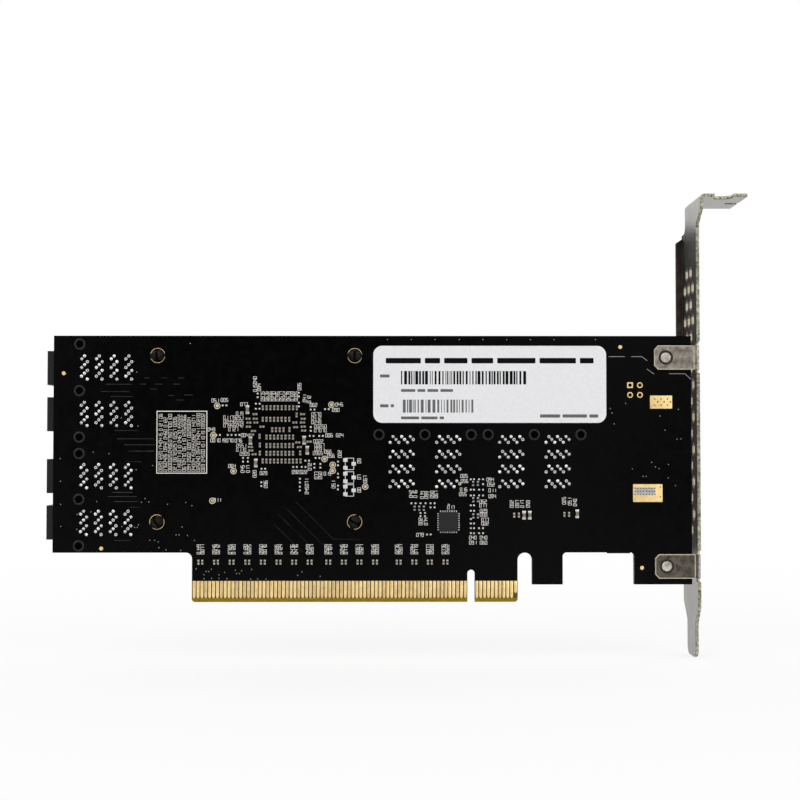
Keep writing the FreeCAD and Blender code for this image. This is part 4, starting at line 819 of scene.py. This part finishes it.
# Figures after the first, which is a nought
LATER_FIGURES = (0, 1, 2, 4, 5, 6, 7, 9)
FIGURE, SMALL_FIGURE = 0.86, 0.84
INK_FILM, LINE, FINE_LINE, FRAME_LINE, FRAME_CORNER = 0.015, 0.1, 0.082, 0.13, 0.05


def figures(draw, count):
    return [0] + [draw.choice(LATER_FIGURES) for _ in range(count - 1)]


def number(piece, x, z, digits, size, turn=0, line=LINE):
    """Plain figures about a middle point, each drawn as a few strokes."""
    start = -(DIGIT_STEP * (len(digits) - 1) + DIGIT_WIDTH) / 2
    for index, digit in enumerate(digits):
        for walk in DIGITS[digit].split():
            corners = [CORNERS[name] for name in walk]
            flat = [((a + start + DIGIT_STEP * index) * size, (b - 0.5) * size) for a, b in corners]
            piece.stroke(around(x, z, turn, flat), line, 0, INK_FILM)


def outline(piece, x, z, width, height, line=FRAME_LINE):
    """A printed frame."""
    rings = []
    for inset, level in ((0, 0), (0, INK_FILM), (line, INK_FILM), (line, 0)):
        shape = rounded(width - 2 * inset, height - 2 * inset, FRAME_CORNER, 2)
        rings.append([(x + a, z + b, level) for a, b in shape])
    piece.loft(rings, closed=True)


NUMBERS_ACROSS = spots(
    (215.2, 400.4), (224.4, 400), (244, 404.2), (313.5, 405), (339.2, 404.5), (335.8, 409.9), (211.4, 429.5),
    (214, 440.4), (221.8, 440.4), (229.6, 440.4), (238.4, 440.6), (244.6, 435.2), (329, 435.3),
    (339.7, 435.3), (327.8, 451.7), (330.8, 455.8), (327.4, 473.6), (263.5, 473.1), (295.6, 472),
    (303.6, 472), (232, 466), (217.2, 500), (450.9, 507.4), (464, 476), (464.5, 481), (463.6, 489.5),
    (462.8, 494.2), (490.2, 479.6), (491, 484.6), (492.2, 490.4), (492.2, 496.2), (483, 501.6), (483, 505.5),
    (483.5, 510.8), (483.5, 514.6), (485, 519.6), (485, 523.5), (472.8, 537.6), (483.5, 537.6),
    (472.8, 542.6), (483.5, 542.6), (420, 534.8))
NUMBERS_UP = spots(
    (255, 380.2), (255, 388), (259, 387.4), (299.4, 386.6), (304.6, 398.4), (309, 399.4), (242.6, 469),
    (248, 469), (254.6, 473.9), (265.7, 484.3), (309.8, 466.7), (306.8, 482.5), (306.8, 490.5),
    (316.2, 475.4), (320.2, 475.4), (333.5, 484.6), (339.7, 454), (365.2, 479.3), (411, 494),
    (415.3, 494), (422, 495), (426.3, 495), (431.8, 494.5), (436, 494.5), (420.5, 521.5), (425.8, 521.5),
    (511.7, 504), (517.2, 504), (522.2, 504), (528, 504), (564, 500.8), (569.8, 501.6), (575, 502.5))
SHORT_UP = spots((359.1, 460.9), (359.1, 477), (359.1, 490))
TOP_ROW_UP = [spot(262.6 + 3.7 * index, 396.3) for index in range(10)]
# Runs of figures close together: left, right and height in pixels
FIGURE_RUNS = (
    (235.5, 243.8, 413.4), (222.9, 243.8, 417.4), (222.9, 243.8, 421.4), (222.9, 243.8, 425.4),
    (228, 238.5, 429.4), (235.8, 246.5, 445.6), (235.8, 246.5, 449.7), (239.5, 250, 453.8),
    (311.3, 321.2, 414.2), (311.3, 321.2, 418.2), (311.3, 321.2, 422.2), (313.4, 327.3, 426.3),
    (313.4, 327.3, 430.4), (313, 323.4, 441.2), (314.4, 324.4, 445.2), (314.4, 324.4, 449.2),
    (312.6, 323, 453.2))
# The table's left, low, right and high edge
TABLE = (-81.4, 33.18, -68.3, 49.4)
TABLE_COLUMNS, TABLE_EDGE, TABLE_LINE = 10, 0.45, 0.2

# All print of the solder side
piece = Piece("board_print", FRONT, INK)
draw = Random(23)
for places, count, turn in ((NUMBERS_ACROSS, 3, 0), (NUMBERS_UP, 3, 90), (SHORT_UP, 2, 90)):
    for place in places:
        number(piece, *place, figures(draw, count), FIGURE, turn)
for place in TOP_ROW_UP:
    number(piece, *place, figures(draw, 4), SMALL_FIGURE, 90, FINE_LINE)
for x, z in COUPLING_PLACES:
    number(piece, x, z + 3.3, figures(draw, 4), SMALL_FIGURE, 90)
step = DIGIT_STEP * FIGURE
for left, right, height in FIGURE_RUNS:
    (low_x, z), (high_x, z) = spots((left, height), (right, height))
    digits = figures(draw, round((high_x - low_x) / step))
    number(piece, (low_x + high_x) / 2, z, digits, FIGURE, 0, FINE_LINE)
left, low, right, high = TABLE
outline(piece, (left + right) / 2, (low + high) / 2, right - left, high - low, TABLE_LINE)
for column in range(TABLE_COLUMNS):
    x = left + TABLE_EDGE + (column + 0.5) * (right - left - 2 * TABLE_EDGE) / TABLE_COLUMNS
    z = low + TABLE_EDGE
    count = 3
    while count > 1:
        number(piece, x, z + step * count / 2, figures(draw, count), FIGURE, 90, FINE_LINE)
        z += step * count + draw.choice((0.05, 0.15, 0.5))
        count = min(draw.choice((3, 4, 4)), int((high - TABLE_EDGE - z) / step))
for place in TEST_POINTS:
    piece.ring(*place, 0.66, 0.8, INK_FILM, 24)
for z in (35.66, 32.15, 28.81):
    outline(piece, -31.45, z, 2.3, 3.1)
number(piece, MONITOR[0], MONITOR[1] + 4.1, [7], FIGURE)
piece.done("solder_mask")

# Vias: a row by pixel, and loose ones
VIAS = [spot(u, 339.5) for u in (387.4, 411.4, 435.1, 459.2, 483, 506.6, 530.3, 554, 595.5)]
# Enlarged parts of the photograph: left, top and scale, and the vias read from each
VIA_SHEETS = (
    (0, 300, 6.03, (
        (363, 957), (365, 1093), (365, 1232), (367, 1365), (465, 1293), (463, 1383), (548, 1277), (583, 1215),
        (562, 917), (657, 927), (732, 710), (832, 760), (825, 435), (1147, 262), (822, 1023), (920, 998),
        (875, 1197), (853, 1220), (897, 1218), (1010, 1232), (1120, 1221), (1157, 1240), (1098, 1368),
        (1062, 1416), (1080, 1416), (1130, 1420), (1172, 1450), (903, 1449), (932, 1449), (954, 1458),
        (958, 1493), (1001, 1507), (1090, 1510), (835, 1355), (812, 1371), (828, 1371), (735, 1366))),
    (600, 400, 5.807, (
        (148, 20), (60, 50), (70, 75), (82, 138), (348, 93), (455, 55), (378, 175), (447, 228), (470, 226),
        (300, 362), (322, 388), (343, 398), (397, 375), (188, 400), (250, 443), (268, 443), (396, 452),
        (438, 497))),
    (180, 560, 10.45, (
        (168, 93), (272, 120), (300, 120), (328, 97), (250, 153), (252, 195), (330, 193), (408, 155),
        (466, 130), (407, 193), (490, 195), (578, 107), (645, 112), (748, 98), (593, 142), (622, 142),
        (738, 200), (812, 197), (900, 200), (1230, 160), (1275, 125), (1465, 170))))
for left, top, scale, points in VIA_SHEETS:
    VIAS += [spot(left + a / scale, top + b / scale) for a, b in points]


def vias(name, face, places):
    piece = Piece(name, face, VIA_TONE_AND_TRACE_SHEEN)
    for place in places:
        piece.ring(*place, 0.05, 0.15, FOIL, 12)
    piece.done("solder_mask")


vias("vias_solder_side", FRONT, VIAS)

# Traces in relief under the mask, lighter than the mask as painted sheen: runs as left, right and height in
# pixels, and bent ones
TRACE_RUNS = (
    (106.1, 131.8, 384.2), (101.2, 129.4, 391.5), (110.3, 132.7, 396.5), (114.4, 138.5, 430.5),
    (116.9, 154.2, 438.8), (124.4, 155.1, 444.8), (128.5, 154.2, 451.1), (126.9, 141, 461.7),
    (111.9, 132.7, 492.4), (107.8, 136.8, 496.5), (114.4, 138.1, 501.5), (128.5, 139.8, 507.3),
    (114.4, 131, 540.5), (144.3, 149.3, 377.9), (161.7, 167.5, 377.9), (178.3, 184.1, 377.9),
    (140.1, 145.9, 384.1), (155.1, 162.5, 384.1), (173.3, 179.9, 384.1), (150.1, 157.5, 389.1),
    (168.3, 174.1, 395.4), (184.1, 192.4, 395), (176.6, 184.1, 400))
STRAIGHT_TRACES = [((left, z), (right, z)) for left, right, z in TRACE_RUNS]
SLANTING_TRACES = (
    ((295.6, 501.4), (333.1, 538.9), (360.6, 539.7)), ((287.1, 509.1), (323.9, 545.8)),
    ((278, 513.7), (314.7, 550.4)), ((273.4, 523.6), (302.5, 552)))
# Bright traces, in the vias' pale finish as painted sheen
BRIGHT_TRACES = (
    ((608.5, 356.6), (624.9, 356.6)), ((631, 356.6), (641.5, 356.6), (647.3, 360.7)),
    ((647, 369), (654, 374)), ((669, 373.7), (685, 373.7), (691, 379.5)))
# Each kind by its width and finish
TRACES = ((STRAIGHT_TRACES, 0.16, 0), (SLANTING_TRACES, 0.26, 2), (BRIGHT_TRACES, 0.16, 1))
TRACE_RISE = 0.012

piece = Piece("traces_in_relief", FRONT, TRACE_SHEEN, VIA_TONE_AND_TRACE_SHEEN, FAINT_TRACE_SHEEN)
for lines, width, finish in TRACES:
    for line in lines:
        piece.stroke(spots(*line), width, 0, TRACE_RISE, finish)
piece.done("solder_mask")

# Frames round the parts of the component side, as middle, width and height
PART_FRAMES = [(INDUCTOR_X, z, 7.7, 7.7) for z in INDUCTOR_HEIGHTS]
PART_FRAMES += [(TANTALUM_X, z, 8, 5) for z in TANTALUM_HEIGHTS]
PART_FRAMES += [(x, z, 7, 5.8) for x, z in STAGE_PLACES[1:]]
PART_FRAMES += [(*CLOCK, 7.4, 7.4), (*MEMORY, 6.2, 9.4), (*CRYSTAL, 4.6, 3.8)]
POWER_CHIPS = [(-33.2, z) for z in (25.6, 27.4, 37.6, 39.4, 45, 46.8, 57.6, 59.4)]
POWER_CHIPS += product((-2.4, 3.8, 15.2), (17.6, 19.6, 21.6, 23.6))
# Strips with vias on the component side, as left, right, low and high
VIA_STRIPS = ((-33, -23, 13, 18), (0, 28, 13, 15.4), (32, 88, 13, 15.4))
VIAS_IN_STRIP = 26

# Print, small chips and vias of the side that the photograph does not show
draw = Random(31)
marks = Piece("component_print", BACK, INK)
for x, z, width, height in PART_FRAMES:
    outline(marks, x, z, width, height)
    number(marks, x + width / 2 + 0.62, z, figures(draw, 3), SMALL_FIGURE, 90)
small = Piece("chips_component_side", BACK, CERAMIC, TIN)
for x, z in COUPLING_PLACES:
    chip(small, -x, z, *SMALL_CHIP)
    number(marks, -x, z + 2.4, figures(draw, 3), SMALL_FIGURE, 90)
for place in POWER_CHIPS:
    chip(small, *place, *POWER_CHIP, 90)
marks.done("solder_mask")
small.done("capacitor_ceramic")
places = [(draw.uniform(left, right), draw.uniform(low, high))
          for left, right, low, high in VIA_STRIPS for _ in range(VIAS_IN_STRIP)]
vias("vias_component_side", BACK, places)

LABEL_FACE = axes(*FRONT_AXES, (0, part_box("label")[0][1] / MM, 0))
# Lines of the label as left, right, middle height and letter height, in pixels
TITLE_LINE = (385.7, 593.5, 360.7, 9)
SMALL_LINES = (
    (380, 393, 376, 5), (401, 453, 390.5, 4.6), (380, 394, 405.8, 5),
    (401, 444, 417.9, 4.6), (540, 600.5, 416, 5.4))
# Bar fields as left, top, right and bottom, in pixels
DARK_BARS, PALE_BARS = (401, 371.1, 526.3, 384.4), (402.8, 399.7, 474.4, 412.6)
BAR_WIDTHS, BAR_GAPS = (0.2, 0.32, 0.5, 0.75), (0.22, 0.34, 0.5)


def label_print():
    """Lines of print and two fields of plain bars; they spell and code nothing."""
    piece = Piece("label_print", LABEL_FACE, PRINT_AND_HOLE_SHADE, GREY_PRINT)
    draw = Random(42)
    film = [(0, -0.01), (0, 0.006)]

    def words(left, right, middle, tall, finish):
        u = left
        while u < right - tall * 0.6:
            wide = min(draw.uniform(1.6, 5.2) * tall, right - u)
            (x0, z0), (x1, z1) = spot(u, middle + tall * 0.3), spot(u + wide, middle - tall * 0.3)
            piece.plate((x0 + x1) / 2, (z0 + z1) / 2, x1 - x0, z1 - z0, film, 0.2, finish, steps=4)
            u += wide + tall * 0.45

    def bars(left, top, right, bottom, finish):
        (x, z0), (end, z1) = spot(left, bottom), spot(right, top)
        while x < end - 0.5:
            wide = draw.choice(BAR_WIDTHS)
            piece.plate(x + wide / 2, (z0 + z1) / 2, wide, z1 - z0, film, 0.02, finish)
            x += wide + draw.choice(BAR_GAPS)

    words(*TITLE_LINE, 0)
    for line in SMALL_LINES:
        words(*line, 1)
    bars(*DARK_BARS, 0)
    bars(*PALE_BARS, 1)
    piece.done("label_paper")


label_print()

# Floor, light and camera, in metres

FLOOR_SIDE, FLOOR_GAP, WORLD_LIGHT = 6, 0.0002, 0.32
# Between these distances from its middle the floor turns from a share of white to all of it
FADE = {"From Min": 0.12, "From Max": 0.45, "To Min": 0.8}
WHITE, PALE = (1, 1, 1, 1), (0.9, 0.9, 0.9, 1)
CARD_MIDDLE = Vector((-0.02, 0, 0.04))


def white_where_seen(tree, lit, seen, share=1):
    """White for the rays that look at it, straight, in a mirror or through glass, and lit for the others."""
    rays = add(tree, "LightPath")
    mirror = combine(tree, "MAXIMUM", rays["Is Glossy Ray"], rays["Is Transmission Ray"])
    looks = combine(tree, "MAXIMUM", rays["Is Camera Ray"], mirror)
    amount = combine(tree, "MULTIPLY", looks, share)
    return add(tree, "MixShader", {"Fac": amount, 1: lit, 2: seen})["Shader"]


def sheet(name, corners, material):
    mesh = bpy.data.meshes.new(name)
    mesh.from_pydata(corners, [], [(0, 1, 2, 3)])
    mesh.materials.append(material)
    return placed(name, mesh)


material = bpy.data.materials.new("floor")
material.use_nodes = True
tree = material.node_tree
tree.nodes.clear()
reach = add(tree, "VectorMath", {0: add(tree, "TexCoord")["Object"]}, operation="LENGTH")["Value"]
share = add(tree, "MapRange", {"Value": reach, **FADE})["Result"]
lit = add(tree, "BsdfDiffuse", {"Color": PALE})["BSDF"]
seen = add(tree, "Emission", {"Color": WHITE})["Emission"]
add(tree, "OutputMaterial", {"Surface": white_where_seen(tree, lit, seen, share)})
low, half = CAD_BOX[0][2] - FLOOR_GAP, FLOOR_SIDE / 2
ground = sheet("floor", [(half * a, half * b, low) for a, b in SQUARE], material)

# Light from all round
world = bpy.data.worlds.new("studio")
bpy.context.scene.world = world
world.use_nodes = True
tree = world.node_tree
tree.nodes.clear()
lit = add(tree, "Background", {"Color": WHITE, "Strength": WORLD_LIGHT})["Background"]
seen = add(tree, "Background", {"Color": WHITE})["Background"]
add(tree, "OutputWorld", {"Surface": white_where_seen(tree, lit, seen)})


def dark_card(name, left, right, depth, low, top):
    """A dark card for the polished bracket and the board to reflect."""
    corners = [(left, depth, low), (right, depth, low), (right, depth, top), (left, depth, top)]
    card = sheet(name, corners, CARD_GREY)
    card.visible_camera = card.visible_diffuse = card.visible_shadow = False


def aimed(name, data, place, heading):
    """A lamp or camera at its place, looking along its heading."""
    rig = placed(name, data)
    rig.location = place
    rig.rotation_euler = heading.to_track_quat("-Z", "Y").to_euler()
    return rig


def soft_box(name, place, width, height, watts):
    lamp = bpy.data.lights.new(name, "AREA")
    lamp.shape = "RECTANGLE"
    lamp.size, lamp.size_y, lamp.energy = width, height, watts
    aimed(name, lamp, place, CARD_MIDDLE - Vector(place))


dark_card("front_card", 0.108, 0.16, -0.26, -0.014, 0.3)
dark_card("low_card", 0.075, 0.108, -0.26, -0.014, 0.055)
dark_card("back_card", -0.02, 0.058, 0.15, 0, 0.12)
dark_card("camera_card", -0.22, 0.035, -0.4, -0.014, 0.3)
soft_box("key", (-0.75, -0.7, 0.7), 1, 1, 5.5)
soft_box("fill", (0.8, -0.65, 0.45), 0.9, 0.8, 4)
soft_box("back_left", (-0.6, 0.7, 0.6), 1.1, 1.1, 4)
soft_box("back_right", (0.65, 0.65, 0.5), 1.1, 0.9, 3.5)
soft_box("top", (0, -0.05, 0.9), 1.8, 1.4, 3)

lens = bpy.data.cameras.new("camera")
lens.lens, lens.sensor_width, lens.clip_start = LENS, SENSOR, 0.01
bpy.context.scene.camera = aimed("camera", lens, EYE * MM, AIM - EYE)
bpy.context.scene.view_settings.view_transform = "Standard"
